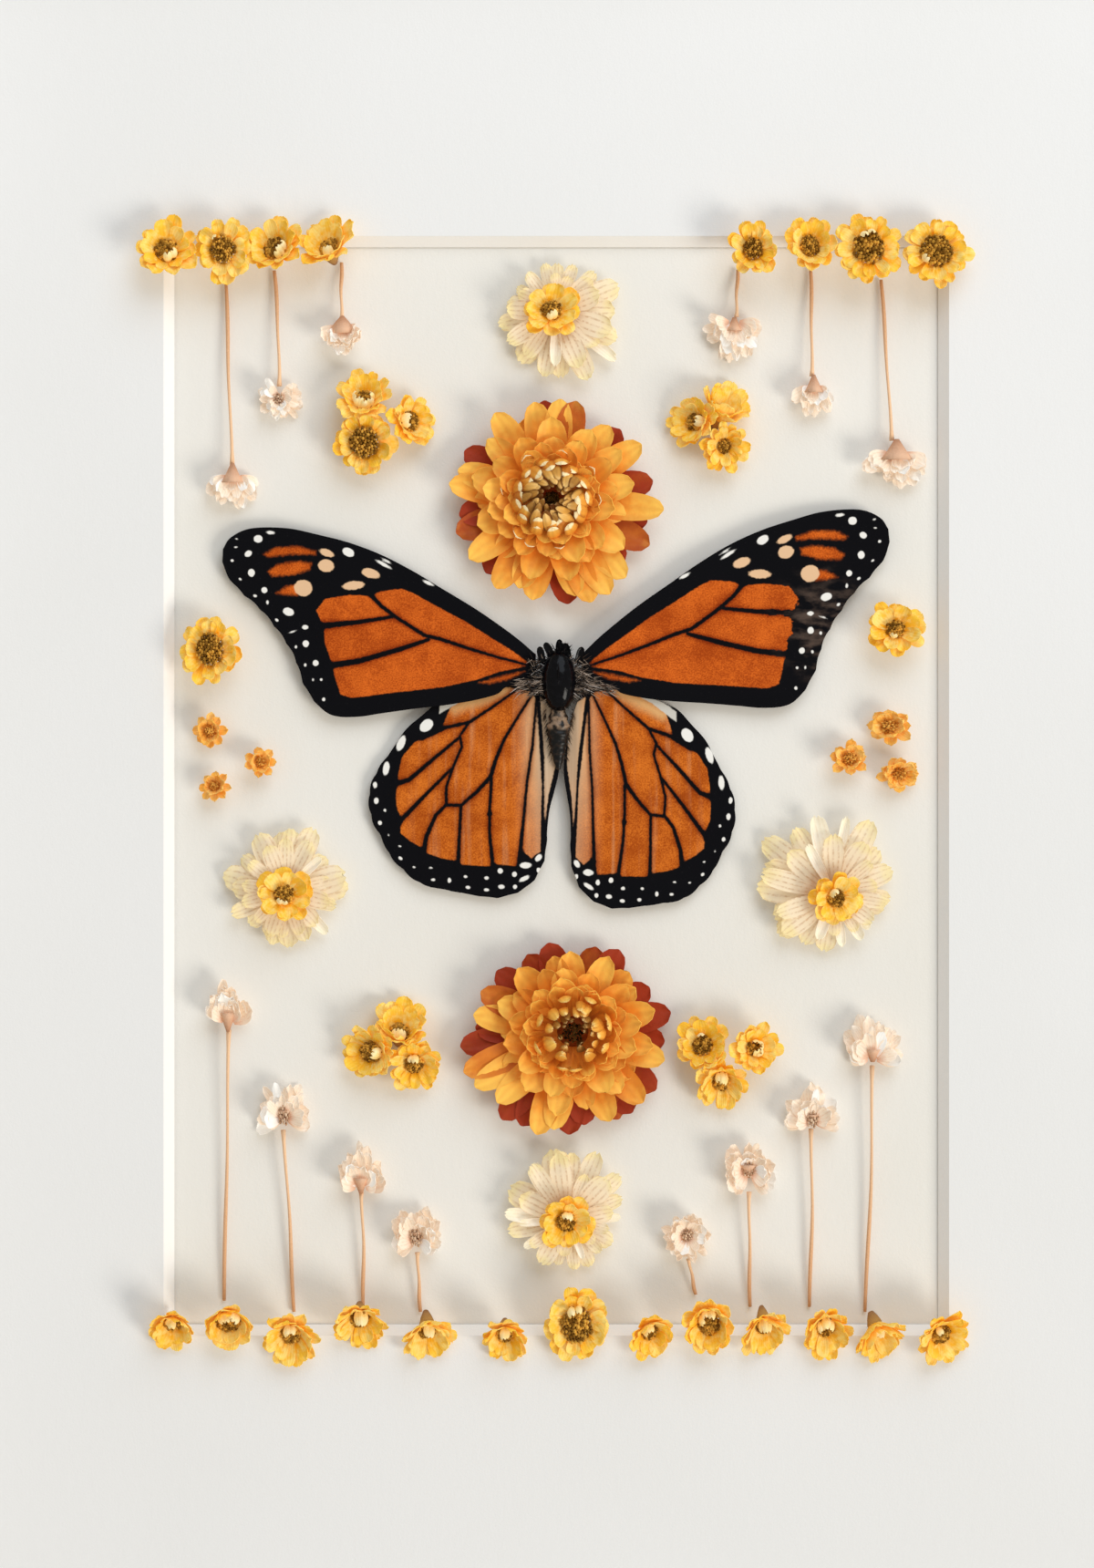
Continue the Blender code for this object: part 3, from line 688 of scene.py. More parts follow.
def add_cone(bm, neck, mouth, bottom, top, kind, sides=14, swell=0.35):
    """The cone of bracts under a head, closed at both ends and slightly ribbed."""
    along = bm.verts.layers.float["along"]
    profile = []
    for t in (0.0, 0.33, 0.67, 1.0):
        radius = (neck + (mouth - neck) * t) * (1.0 + swell * math.sin(math.pi * t))
        profile.append((radius, 0.0, bottom + t * (top - bottom)))
    made = spun_shell(bm, profile, (0, 0, 1), 2 * sides)
    for vert in {vert for face in made for vert in face.verts}:
        vert[along] = (vert.co.z - bottom) / (top - bottom)
        rib = 1.0 + 0.06 * math.cos(sides * math.atan2(vert.co.y, vert.co.x))
        vert.co.x, vert.co.y = vert.co.x * rib, vert.co.y * rib
    dress(made, kind)


def settle(bm, target, tilt, toward):
    """Leans a finished head by `tilt` toward an azimuth and fits it into a box in mm."""
    lean = Matrix.Rotation(math.radians(toward), 4, "Z") @ Matrix.Rotation(math.radians(tilt), 4, "Y")
    lean = lean @ Matrix.Rotation(math.radians(-toward), 4, "Z")
    bmesh.ops.transform(bm, matrix=lean, verts=bm.verts)
    for axis, (start, end) in enumerate(zip(*target)):
        low, high = min(vert.co[axis] for vert in bm.verts), max(vert.co[axis] for vert in bm.verts)
        scale = (end - start) / (high - low)
        for vert in bm.verts:
            vert.co[axis] = start + (vert.co[axis] - low) * scale


def thicken(bm, faces, sheet):
    """Turns petals from surfaces into thin closed sheets, `sheet` mm thick."""
    bmesh.ops.recalc_face_normals(bm, faces=list(faces))
    bm.normal_update()
    made = bmesh.ops.extrude_face_region(bm, geom=list(faces), use_keep_orig=True)["geom"]
    lifted = [item for item in made if isinstance(item, bmesh.types.BMVert)]
    for vert in lifted:
        vert.co += vert.normal * sheet
    whole = set(faces) | {face for vert in lifted for face in vert.link_faces}
    bmesh.ops.recalc_face_normals(bm, faces=list(whole))
    for edge in {edge for face in whole for edge in face.edges}:
        if edge.is_manifold and edge.calc_face_angle() > SHARP:
            edge.smooth = False


def tooth_tips(bm, columns, reach):
    """Pulls every other vertex of all the petals' tips back toward their base."""
    along, across = bm.verts.layers.float["along"], bm.verts.layers.float["across"]
    for vert in bm.verts:
        column = round((vert[across] + 1) * columns / 2)
        if vert[along] > 0.99 and column % 2:
            beside = [edge.other_vert(vert) for edge in vert.link_edges]
            inner = min(beside, key=lambda other: other[along])
            vert.co = vert.co.lerp(inner.co, reach * dice.uniform(0.2, 1.0))


def join_heads(name, heads, materials):
    """One object, in metres, from several finished heads in mm."""
    mesh = bpy.data.meshes.new(name)
    whole = bmesh.new()
    for head in heads:
        part = bpy.data.meshes.new("part")
        head.to_mesh(part)
        head.free()
        whole.from_mesh(part)
        bpy.data.meshes.remove(part)
    bmesh.ops.scale(whole, vec=(MM, MM, MM), verts=whole.verts)
    whole.to_mesh(mesh)
    whole.free()
    for material in materials:
        mesh.materials.append(material)
    flower = bpy.data.objects.new(name, mesh)
    bpy.context.scene.collection.objects.link(flower)
    return flower


def star_head(petals, disc, cup, folded, folded_at):
    """A star flower head facing up, about 4.5 mm in radius."""
    bm = new_flower()
    radius = 1.1 + 1.6 * disc
    faces = set()
    for layer, (count, long, rise) in enumerate(((petals + 1, 3.3, 0.06), (petals, 2.6, 0.30))):
        for index in range(count):
            azimuth = math.tau * (index + 0.5 * layer) / count + dice.uniform(-0.16, 0.16)
            length = (long + 1.0 - disc) * dice.uniform(0.82, 1.14)
            width = (radius + length * 0.72) * math.tau / count * dice.uniform(0.72, 1.02)
            steep = rise + cup + dice.uniform(-0.09, 0.09)
            faces |= add_petal(
                bm, ring_place(azimuth, radius * 0.88, 2.4 + 0.12 * layer), length, width, steep,
                dice.uniform(-0.40, 0.15), 0.22, 0, 0.35, 0.62, (7, 6), 0.06, 0.06)
    for index in range(folded):
        spread = (index - (folded - 1) / 2) * 0.52
        azimuth = math.radians(folded_at) + spread + dice.uniform(-0.1, 0.1)
        faces |= add_petal(
            bm, ring_place(azimuth, radius, 2.6), dice.uniform(1.7, 2.5), dice.uniform(1.0, 1.5),
            1.25 + dice.uniform(-0.2, 0.2), 1.1, 0.5, 3, wobble=0.03)
    tooth_tips(bm, 6, 1.1)
    thicken(bm, faces, PETAL_SHEET)
    add_beads(bm, int(26 + 60 * disc), radius * 0.98, 2.8, 0.30 + 0.05 * disc, 1, 0.35)
    add_cone(bm, 0.45, radius * 0.78, 0.0, 2.7, 2)
    return bm


def petal_finish(name, base, tip, pale, vein_depth):
    """A dry petal: its colour runs from base to tip, with fine veins along it and paler blotches."""
    petal, sockets, where = new_finish(
        name, Roughness=0.6, Specular_IOR_Level=0.12, Emission_Strength=PAINTED_GLOW)
    along, across, tone = (attribute(where, number) for number in ("along", "across", "tone"))
    run = (along + (where.noise(0.0012, 3.0) - 0.5) * 0.5).ramp(0.0, 1.0)
    colour = run.blend(base, tip)
    blotch = (where.noise(0.0009, 4.0) + tone * 0.25).ramp(0.45, 0.85)
    colour = (blotch * 0.75).blend(colour, pale)
    ridges = (across * 17.0 + where.noise(0.002, 1.0) * 3.0).sine()
    edge = abs(across).ramp(0.75, 1.0)
    colour = ((ridges * 0.5 + 0.5) * 0.16 + edge * 0.12).blend(colour, base)
    feed(colour, sockets["Base Color"])
    # Painted glow: the petal gives off its own colour as light.
    feed(colour, sockets["Emission Color"])
    feed((ridges * 0.25 + where.noise(0.0004, 3.0) * 0.5).bump(vein_depth, 0.8), sockets["Normal"])
    return petal


def bead_finish(name, dark, light):
    """Packed dry florets, each of a random shade between dark and golden, with a fine grain."""
    bead, sockets, where = new_finish(name, Roughness=0.7, Specular_IOR_Level=0.15)
    tone = attribute(where, "tone")
    grain = where.noise(0.0003, 3.0)
    feed((tone * 0.6 + grain * 0.6).ramp(0.3, 0.95).blend(dark, light), sockets["Base Color"])
    feed(grain.bump(0.00008, 0.8), sockets["Normal"])
    return bead


def bract_finish(name, base, tip):
    """The dry tan cone behind a head, its colour running from base to tip with fine mottling."""
    bract, sockets, where = new_finish(name, Roughness=0.65, Specular_IOR_Level=0.15)
    along = attribute(where, "along")
    streak = where.noise(0.0003, 3.0)
    feed((along * 0.8 + streak * 0.4).ramp(0.1, 1.0).blend(base, tip), sockets["Base Color"])
    feed(streak.bump(0.00008, 0.8), sockets["Normal"])
    return bract


star_finishes = [
    petal_finish("star_petal", (0.95, 0.42, 0.012), (1.0, 0.62, 0.06), (1.0, 0.80, 0.28), 0.00007),
    bead_finish("star_florets", (0.20, 0.085, 0.008), (0.90, 0.50, 0.08)),
    bract_finish("star_cone", (0.36, 0.17, 0.07), (0.60, 0.32, 0.08)),
    petal_finish("star_folded_petal", (0.92, 0.60, 0.14), (0.99, 0.80, 0.38), (1.0, 0.88, 0.58), 0.00006),
]

# One head is: x, y from the middle of its node and half width, half height, in mm; petals in a ring;
# disc size 0 to 1; cup; folded inner petals and where they are; lean in degrees and its direction.
STAR_HEADS = {
    "star_row_top_left": [
        (-12.9, -0.4, 5.0, 5.1, 9, 0.45, 0.45, 2, 300, 18, 80),
        (-4.0, -1.3, 4.6, 5.4, 9, 0.85, 0.05, 1, 130, 6, 250),
        (4.1, 0.0, 4.7, 4.6, 9, 0.5, 0.5, 3, 330, 26, 120),
        (12.6, 0.6, 4.6, 4.2, 9, 0.3, 0.6, 2, 280, 42, 115)],
    "star_flower_top_right": [(0, 0, 4.0, 4.4, 8, 0.65, 0.15, 0, 0, 6, 100)],
    "star_row_top_right": [
        (-11.4, 0.9, 4.3, 4.6, 8, 0.6, 0.35, 0, 0, 16, 80),
        (-2.2, 0.2, 5.4, 5.7, 11, 0.95, 0.0, 2, 100, 5, 90),
        (9.2, -0.6, 5.9, 5.7, 11, 0.95, 0.0, 1, 220, 5, 60)],
    "star_cluster_upper_left": [
        (-3.1, 4.2, 4.6, 4.6, 10, 0.45, 0.45, 7, 275, 28, 95),
        (4.4, 0.2, 4.0, 4.1, 9, 0.55, 0.5, 3, 180, 34, 10),
        (-2.8, -3.4, 5.4, 5.3, 10, 1.0, 0.05, 0, 0, 8, 250)],
    "star_cluster_upper_right": [
        (-2.8, 0.6, 4.2, 4.1, 9, 0.4, 0.5, 2, 0, 36, 175),
        (2.9, 3.5, 3.9, 4.1, 9, 0.2, 0.9, 1, 240, 52, 60),
        (2.5, -3.6, 4.3, 4.1, 10, 0.2, 0.35, 0, 0, 22, 290)],
    "star_cluster_lower_left": [
        (-3.8, -1.0, 4.3, 4.3, 9, 0.5, 0.4, 2, 0, 28, 190),
        (1.5, 3.6, 4.2, 4.2, 9, 0.3, 0.7, 3, 260, 44, 80),
        (3.6, -3.2, 4.5, 4.3, 10, 0.4, 0.3, 2, 100, 20, 280)],
    "star_cluster_lower_right": [
        (-4.6, 3.3, 4.2, 4.3, 9, 0.5, 0.4, 1, 100, 20, 120),
        (4.0, 2.5, 4.6, 4.3, 9, 0.2, 0.5, 6, 0, 12, 20),
        (-1.5, -3.3, 4.4, 4.4, 10, 0.35, 0.45, 3, 90, 34, 270)],
    "star_flower_left": [(0, 0, 5.1, 5.6, 9, 1.0, -0.02, 0, 0, 4, 90)],
    "star_flower_right": [(0, 0, 4.7, 4.5, 8, 0.35, 0.12, 1, 250, 10, 90)],
    "bottom_star_01": [(0, 0, 3.7, 3.7, 8, 0.3, 0.6, 2, 100, 38, 270)],
    "bottom_star_02": [(0, 0, 3.9, 4.0, 8, 0.5, 0.9, 4, 90, 24, 275)],
    "bottom_star_03": [(0, 0, 4.8, 4.7, 10, 0.3, 0.5, 3, 100, 32, 265)],
    "bottom_star_04": [(0, 0, 4.5, 4.0, 9, 0.35, 0.5, 3, 80, 44, 275)],
    "bottom_star_05": [(0, 0, 4.5, 4.2, 9, 0.3, 0.55, 2, 90, 54, 280)],
    "bottom_star_06": [(0, 0, 3.7, 3.8, 8, 0.3, 0.55, 2, 90, 44, 270)],
    "bottom_star_07": [(0, 0, 5.3, 6.3, 9, 1.0, 0.1, 2, 100, 16, 270)],
    "bottom_star_08": [(0, 0, 3.6, 4.1, 8, 0.35, 0.6, 3, 130, 34, 300)],
    "bottom_star_09": [(0, 0, 4.3, 4.8, 8, 0.6, 0.7, 3, 110, 22, 265)],
    "bottom_star_10": [(0, 0, 4.1, 4.1, 9, 0.3, 0.6, 3, 90, 50, 280)],
    "bottom_star_11": [(0, 0, 4.1, 4.6, 9, 0.4, 0.55, 4, 95, 34, 280)],
    "bottom_star_12": [(0, 0, 4.1, 4.3, 9, 0.2, 0.7, 2, 100, 60, 290)],
    "bottom_star_13": [(0, 0, 4.3, 4.6, 9, 0.35, 0.45, 1, 120, 34, 305)],
}


for node, heads in STAR_HEADS.items():
    low, high = box_mm(node)
    middle = (low + high) / 2
    made = []
    for x, y, half_width, half_height, petals, disc, cup, folded, folded_at, tilt, toward in heads:
        head = star_head(petals, disc, cup, folded, folded_at)
        head_x, head_y = middle.x + x, middle.y + y
        settle(head, ((head_x - half_width, head_y - half_height, low.z),
                      (head_x + half_width, head_y + half_height, high.z)), tilt, toward)
        made.append(head)
    flower = join_heads(node + "_petals", made, star_finishes)
    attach(flower, "root")
    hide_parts(node)

# The two strawflowers are whole heads glued down by their backs. Their stiff papery bracts overlap
# in rings, dark red outside, orange inside, round a bud of incurved cream-tipped bracts.
# One outer bract is: direction in degrees, length in mm and redness.
STRAW_OUTER = {
    "strawflower_top": [
        (-5, 18.4, 0.1), (11, 16.8, 0.8), (32, 17.3, 0.15), (46, 16.2, 0.9), (52, 15.5, 0.1),
        (76, 16.8, 0.6), (85, 16.7, 0.1), (94, 16.5, 0.9), (100, 16.4, 0.2), (123, 17.1, 0.15),
        (150, 16.4, 0.85), (162, 16.1, 0.1), (171, 17.0, 0.2), (189, 15.3, 1.0), (199, 16.5, 0.7),
        (216, 16.7, 0.1), (228, 16.1, 1.0), (238, 17.3, 0.35), (250, 15.6, 0.1), (259, 16.9, 0.35),
        (279, 17.3, 0.9), (284, 16.4, 0.1), (291, 18.2, 0.35), (301, 18.3, 0.2), (313, 17.7, 0.1),
        (319, 15.7, 1.0), (335, 17.6, 0.65), (347, 16.0, 1.0)],
    "strawflower_bottom": [
        (75, 14.5, 0.7), (105, 15.2, 0.95), (120, 14.7, 0.8), (141, 15.9, 1.0), (156, 16.4, 0.6),
        (170, 16.4, 0.1), (178, 15.8, 1.0), (188, 18.4, 0.8), (201, 19.0, 0.5), (210, 18.4, 0.0),
        (224, 17.1, 0.0), (232, 18.7, 0.8), (242, 17.9, 1.0), (251, 18.2, 0.2), (259, 16.7, 0.1),
        (268, 17.3, 0.85), (277, 15.8, 1.0), (292, 16.2, 0.25), (297, 16.5, 0.7), (305, 16.7, 1.0),
        (314, 16.5, 0.4), (324, 16.7, 0.8), (342, 15.7, 0.1), (353, 15.0, 0.9), (11, 16.2, 0.85),
        (30, 14.4, 1.0), (47, 13.5, 0.4), (61, 15.5, 0.95)],
}


# One ring of bracts is: how many; radius, height, length and width in mm; rise; curl; redness; and,
# where they differ, finish, unevenness round the ring, width of the tip and swirl.
OUTER_RINGS = [
    (15, 2.5, 2.6, 10.9, 4.8, 0.19, -0.08, 0.10), (14, 2.5, 3.4, 8.6, 4.6, 0.26, -0.05, 0.14),
    (13, 2.5, 4.1, 6.6, 4.0, 0.36, 0.0, 0.18), (14, 3.6, 4.4, 4.4, 3.0, 0.42, 0.1, 0.2)]
RAGGED_RINGS = [
    (13, 4.6, 4.7, 4.2, 2.8, 0.5, 0.5, 0.1, 0, 0.3, 0.4), (9, 5.2, 4.7, 4.6, 2.3, 0.8, 1.3, 0.1, 5, 0.5, 0.1),
    (9, 4.6, 4.9, 5.2, 1.9, 1.0, 1.6, 0.2, 5, 0.6, 0.1), (9, 3.6, 5.0, 5.0, 1.6, 0.9, 1.5, 0.3, 5, 0.7, 0.1),
    (12, 2.8, 5.2, 4.6, 1.3, 1.0, 1.3, 0.4, 6, 0.7, 0.12),
    (10, 1.7, 5.3, 4.0, 1.0, 1.1, 0.9, 0.6, 6, 0.8, 0.1)]
BUD_RINGS = [
    (8, 5.9, 4.4, 3.6, 2.3, 0.55, 0.5, 0.2, 1, 0.4, 0.05),
    (13, 6.0, 4.4, 4.3, 2.5, 1.10, 1.4, 0.25, 1, 0.12, 0.0, 0.2),
    (12, 5.6, 4.6, 4.9, 2.3, 1.15, 1.6, 0.35, 1, 0.12, 0.0, 0.3),
    (14, 5.0, 4.9, 5.6, 1.9, 1.2, 1.75, 0.35, 2, 0.12, 0.0, 0.35),
    (13, 3.9, 5.4, 4.9, 1.6, 1.2, 1.75, 0.45, 2, 0.12, 0.0, 0.4),
    (11, 2.7, 5.9, 3.7, 1.2, 1.25, 1.6, 0.6, 2, 0.14, 0.0, 0.4)]
BRACT_ROOT = 2.5
BRACT_SHEET = 0.08


def redden(bm, faces, redness):
    """Stores how red some bracts are."""
    tone = bm.verts.layers.float["tone"]
    for vert in {vert for face in faces for vert in face.verts}:
        vert[tone] = redness


def bract_ring(bm, count, radius, height, length, width, rise, curl, redness, kind=0, spread=0.12, tip=0.2,
               swirl=0.0):
    """A ring of similar bracts, a little uneven."""
    faces = set()
    start = dice.uniform(0, math.tau)
    for index in range(count):
        azimuth = start + math.tau * index / count + dice.uniform(-spread, spread)
        place = ring_place(azimuth, radius, height + dice.uniform(-0.2, 0.2))
        made = add_petal(
            bm, place @ Matrix.Rotation(swirl, 4, "Z"), length * dice.uniform(0.88, 1.1),
            width * dice.uniform(0.85, 1.1), rise + dice.uniform(-0.1, 0.1), curl + dice.uniform(-0.12, 0.12),
            0.3, kind, tip, 0.5, (8, 6), 0.02, 0.06)
        redden(bm, made, redness + dice.uniform(-0.10, 0.26))
        faces |= made
    return faces


def strawflower(outer, ragged):
    """A strawflower facing up, its middle at the origin. A ragged one has a curled, open middle."""
    bm = new_flower()
    faces = set()
    for degrees, length, redness in outer:
        lower = 1.0 if redness > 0.6 else 1.7
        made = add_petal(
            bm, ring_place(math.radians(degrees), BRACT_ROOT, lower), length - BRACT_ROOT,
            4.7 + 0.5 * redness, 0.10 + 0.06 * lower, -0.10, 0.14, 0, 0.2, 0.5, (9, 6), 0.010, 0.04)
        redden(bm, made, redness)
        faces |= made
    for ring in OUTER_RINGS + (RAGGED_RINGS if ragged else BUD_RINGS):
        faces |= bract_ring(bm, *ring)
    thicken(bm, faces, BRACT_SHEET)
    add_beads(bm, 40, 1.6 if ragged else 1.2, 5.8, 0.28, 3, 0.4)
    add_cone(bm, 1.6, 4.0, 0.0, 3.2, 4)
    return bm


def straw_finish(name, dark, middle, light, tip_colour, tip_from, edge=0.1, rough=0.5, tip_blur=0.2):
    """A glossy papery bract: redder or lighter by its ring, with streaks, dark base and pale tip."""
    bract, sockets, where = new_finish(
        name, Roughness=rough, Specular_IOR_Level=0.15, Emission_Strength=PAINTED_GLOW)
    along, across, tone = (attribute(where, number) for number in ("along", "across", "tone"))
    streak = (across * 9.0 + where.noise(0.004, 2.0) * 5.0).sine() * 0.5 + 0.5
    body = (tone + (where.noise(0.003, 4.0) - 0.5) * 0.35).ramp(0.25, 0.85).blend(middle, dark)
    bright = (along + where.noise(0.0016, 4.0) * 0.5 - tone * 0.9).ramp(0.55, 1.15)
    body = bright.blend(body, light)
    body = (streak * 0.12).blend(body, dark)
    # Painted shade: each bract is darker along its sides, for the shade where the next bracts overlap it as
    # well as its own darker edge; `edge` sets how strong.
    edge_shade = abs(across).ramp(0.55, 1.0) * edge
    body = (along.ramp(0.75, 0.0) * 0.35 + edge_shade).blend(body, dark)
    pale = (along + (where.noise(0.0008, 2.0) - 0.5) * 1.5 * tip_blur).ramp(tip_from, tip_from + tip_blur)
    colour = pale.blend(body, tip_colour)
    feed(colour, sockets["Base Color"])
    # Painted glow: the bract gives off its own colour as light.
    feed(colour, sockets["Emission Color"])
    grain = streak * 0.4 + where.noise(0.0006, 4.0) * 0.6
    feed(grain.bump(0.00012, 0.8), sockets["Normal"])
    return bract


straw_finishes = [
    straw_finish("strawflower_bract", (0.34, 0.038, 0.012), (0.86, 0.29, 0.026), (0.99, 0.56, 0.095),
                 (0.96, 0.53, 0.085), 1.2),
    straw_finish("strawflower_tipped_bract", (0.36, 0.07, 0.010), (0.84, 0.34, 0.04), (0.94, 0.50, 0.09),
                 (0.98, 0.80, 0.46), 0.84, 0.55, 0.5, 0.06),
    straw_finish("strawflower_curled_bract", (0.14, 0.04, 0.007), (0.84, 0.42, 0.08), (0.96, 0.64, 0.24),
                 (0.92, 0.64, 0.28), 0.94, 1.0, 0.6),
    bead_finish("strawflower_florets", (0.02, 0.010, 0.004), (0.25, 0.13, 0.03)),
    bract_finish("strawflower_back", (0.20, 0.03, 0.01), (0.45, 0.14, 0.03)),
    straw_finish("strawflower_drooped_bract", (0.36, 0.11, 0.012), (0.86, 0.36, 0.04), (0.97, 0.56, 0.11),
                 (0.99, 0.74, 0.30), 0.88, 0.4, 0.7),
    straw_finish("strawflower_shredded_bract", (0.16, 0.06, 0.010), (0.60, 0.26, 0.04), (0.90, 0.52, 0.15),
                 (0.95, 0.66, 0.28), 0.9, 0.4, 0.8),
]

for node, outer in STRAW_OUTER.items():
    head = strawflower(outer, node.endswith("bottom"))
    settle(head, box_mm(node), 0, 0)
    flower = join_heads(node + "_bracts", [head], straw_finishes)
    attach(flower, "root")
    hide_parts(node)

# The four papery flowers have thin ivory petals with toothed tips and fine lengthwise veins, laid
# out flat. A small yellow head sits in the middle of each, a little off its centre.
# One flower is: where the yellow head is from the middle in mm, petals, lean direction in degrees.
PAPERY = {
    "papery_flower_top": (-1.1, 1.7, 17, 100), "papery_flower_left": (0.0, -1.0, 18, 80),
    "papery_flower_right": (1.6, -2.3, 18, 300), "papery_flower_bottom": (0.6, -1.8, 17, 265),
}
PAPERY_SHEET = 0.07
EYE_HALF = (4.6, 4.4)
SKIRT_HEIGHT = 0.62  # how far up the flower its petals reach, as a share of its height


def papery_flower(x, y, half_width, half_height, count):
    """Thin petals spreading from (x, y) as far as an ellipse round the origin, in mm."""
    bm = new_flower()
    faces = set()
    for layer in range(2):
        in_layer = count - 4 * layer
        for index in range(in_layer):
            azimuth = math.tau * (index + 0.5 * layer) / in_layer + dice.uniform(-0.11, 0.11)
            run_x, run_y = math.cos(azimuth) / half_width, math.sin(azimuth) / half_height
            ahead = run_x * x / half_width + run_y * y / half_height
            left = 1.0 - (x / half_width) ** 2 - (y / half_height) ** 2
            pace = run_x ** 2 + run_y ** 2
            reach = (-ahead + math.sqrt(ahead ** 2 + pace * left)) / pace
            reach *= dice.uniform(0.8, 1.0) if layer == 0 else dice.uniform(0.62, 0.9)
            folded = dice.random() < 0.14
            width = (2.0 if folded else 3.7) * dice.uniform(0.7, 1.15) * reach / 10
            place = Matrix.Translation((x, y, 0.0)) @ ring_place(azimuth, 1.2, 1.0 + 0.7 * layer)
            faces |= add_petal(
                bm, place, reach - 1.2, width, dice.uniform(0.05, 0.22) + 0.12 * layer,
                dice.uniform(-0.22, 0.1), 0.5 if folded else 0.06, int(folded), 0.55, 0.25, (7, 6), 0.03)
    tooth_tips(bm, 6, 1.2)
    thicken(bm, faces, PAPERY_SHEET)
    add_cone(bm, 0.8, 1.6, 0.0, 1.6, 2)
    return bm


def papery_finish(name, base, middle, tip, veins, cover):
    """A dry thin petal with lengthwise veins in its base colour; `cover` is how opaque it is."""
    petal, sockets, where = new_finish(
        name, Roughness=0.85, Specular_IOR_Level=0.1, Alpha=cover, Emission_Strength=PAINTED_GLOW)
    along, across, tone = (attribute(where, number) for number in ("along", "across", "tone"))
    speck = where.noise(0.0005, 3.0)
    run = along + (where.noise(0.0022, 3.0) - 0.5) * 0.5
    colour = run.ramp(0.0, 0.5).blend(base, middle)
    colour = run.ramp(0.68, 1.0).blend(colour, tip)
    vein = (across * 13.0 + tone * 6.0).sine() * 0.5 + 0.5
    drawn = vein.ramp(0.55, 1.0) * speck.ramp(0.3, 0.7) * (1.0 - along * 0.6) * veins
    colour = drawn.blend(colour, base)
    feed(colour, sockets["Base Color"])
    # Painted glow: the petal gives off its own colour as light.
    feed(colour, sockets["Emission Color"])
    feed((vein * 0.6 + speck * 0.4).bump(0.00005, 0.6), sockets["Normal"])
    return petal


papery_finishes = [
    papery_finish("papery_petal", (0.60, 0.36, 0.19), (0.96, 0.84, 0.64), (0.97, 0.84, 0.47), 1.0, 0.66),
    papery_finish(
        "papery_folded_petal", (0.84, 0.64, 0.44), (1.0, 0.93, 0.80), (0.99, 0.92, 0.72), 0.7, 0.85),
    bract_finish("papery_back", (0.45, 0.30, 0.16), (0.60, 0.45, 0.28)),
]

for node, (x, y, count, toward) in PAPERY.items():
    low, high = box_mm(node)
    middle, half = (low + high) / 2, (high - low) / 2
    skirt = papery_flower(x, y, half.x, half.y, count)
    top = low.z + SKIRT_HEIGHT * (high.z - low.z)
    settle(skirt, (low, (high.x, high.y, top)), 0, 0)
    eye = star_head(7, 0.45, 0.12, 2, toward + 180)
    eye_x, eye_y = middle.x + x, middle.y + y
    settle(eye, ((eye_x - EYE_HALF[0], eye_y - EYE_HALF[1], low.z + 0.6),
                 (eye_x + EYE_HALF[0], eye_y + EYE_HALF[1], high.z)), 14, toward)
    flower = join_heads(node + "_petals", [skirt], papery_finishes)
    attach(flower, "root")
    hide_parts(node)
    centre = join_heads(node + "_yellow_middle", [eye], star_finishes)
    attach(centre, "root")

# The cream flowers lie on their sides on thin tan stems, glued to the board. A cone of tan bracts
# joins each stem to a tuft of thin pink-white petals.
# One flower is: stem end, stem neck, head middle, head width and length in mm, petals in its first
# layer, how far round they spread in degrees, how much of it is cone, and how closed its petals are.
CREAM = {
    "hanging_flower_left_1": ((-53.5, 81.5), (-52.4, 51.8), (-52.4, 48.4), 8.6, 7.4, 11, 150, 0.42, 0.0),
    "hanging_flower_left_2": ((-45.7, 83.5), (-44.8, 64.6), (-44.6, 62.4), 7.4, 6.8, 12, 290, 0.05, 0.0),
    "hanging_flower_left_3": ((-34.8, 84.8), (-34.7, 75.6), (-34.7, 72.6), 6.6, 6.6, 8, 130, 0.34, 0.9),
    "hanging_flower_right_1": ((29.4, 83.6), (29.1, 75.8), (28.4, 72.4), 9.6, 7.8, 11, 190, 0.20, 0.1),
    "hanging_flower_right_2": ((41.2, 83.6), (41.3, 66.2), (41.4, 63.0), 7.0, 6.8, 9, 130, 0.42, 0.0),
    "hanging_flower_right_3": ((52.6, 82.0), (54.2, 55.8), (54.6, 52.0), 10.6, 8.0, 11, 140, 0.46, 0.1),
    "standing_flower_left_1": ((-53.8, -83.4), (-52.9, -39.4), (-52.8, -35.4), 7.6, 8.6, 9, 140, 0.26, 0.7),
    "standing_flower_left_2": ((-42.5, -85.2), (-44.1, -55.6), (-44.2, -52.2), 8.8, 8.6, 11, 220, 0.08, 0.1),
    "standing_flower_left_3": ((-31.3, -84.4), (-31.5, -65.6), (-31.4, -61.6), 7.8, 8.6, 10, 160, 0.22, 0.3),
    "standing_flower_left_4": ((-22.0, -85.2), (-22.4, -75.4), (-22.6, -72.0), 8.2, 8.2, 10, 240, 0.06, 0.3),
    "standing_flower_right_1": ((50.0, -85.2), (51.1, -45.2), (51.3, -41.2), 9.6, 8.6, 12, 200, 0.14, 0.0),
    "standing_flower_right_2": ((41.0, -84.4), (41.2, -55.4), (41.3, -51.9), 9.0, 8.2, 11, 210, 0.10, 0.1),
    "standing_flower_right_3": ((31.4, -84.4), (31.2, -65.6), (31.3, -61.8), 8.4, 8.6, 12, 300, 0.22, 0.5),
    "standing_flower_right_4": ((22.6, -82.4), (21.4, -76.4), (21.0, -73.0), 8.2, 8.2, 15, 360, 0.04, 0.5),
}
STEM_SIDES = 6
CREAM_SHEET = 0.05
# One layer of petals is: its share of the petals, their length, rise and height.
CREAM_LAYERS = ((1.3, 4.6, 0.03, 0.5), (1.2, 4.1, 0.16, 1.3), (0.8, 3.2, 0.35, 2.1))


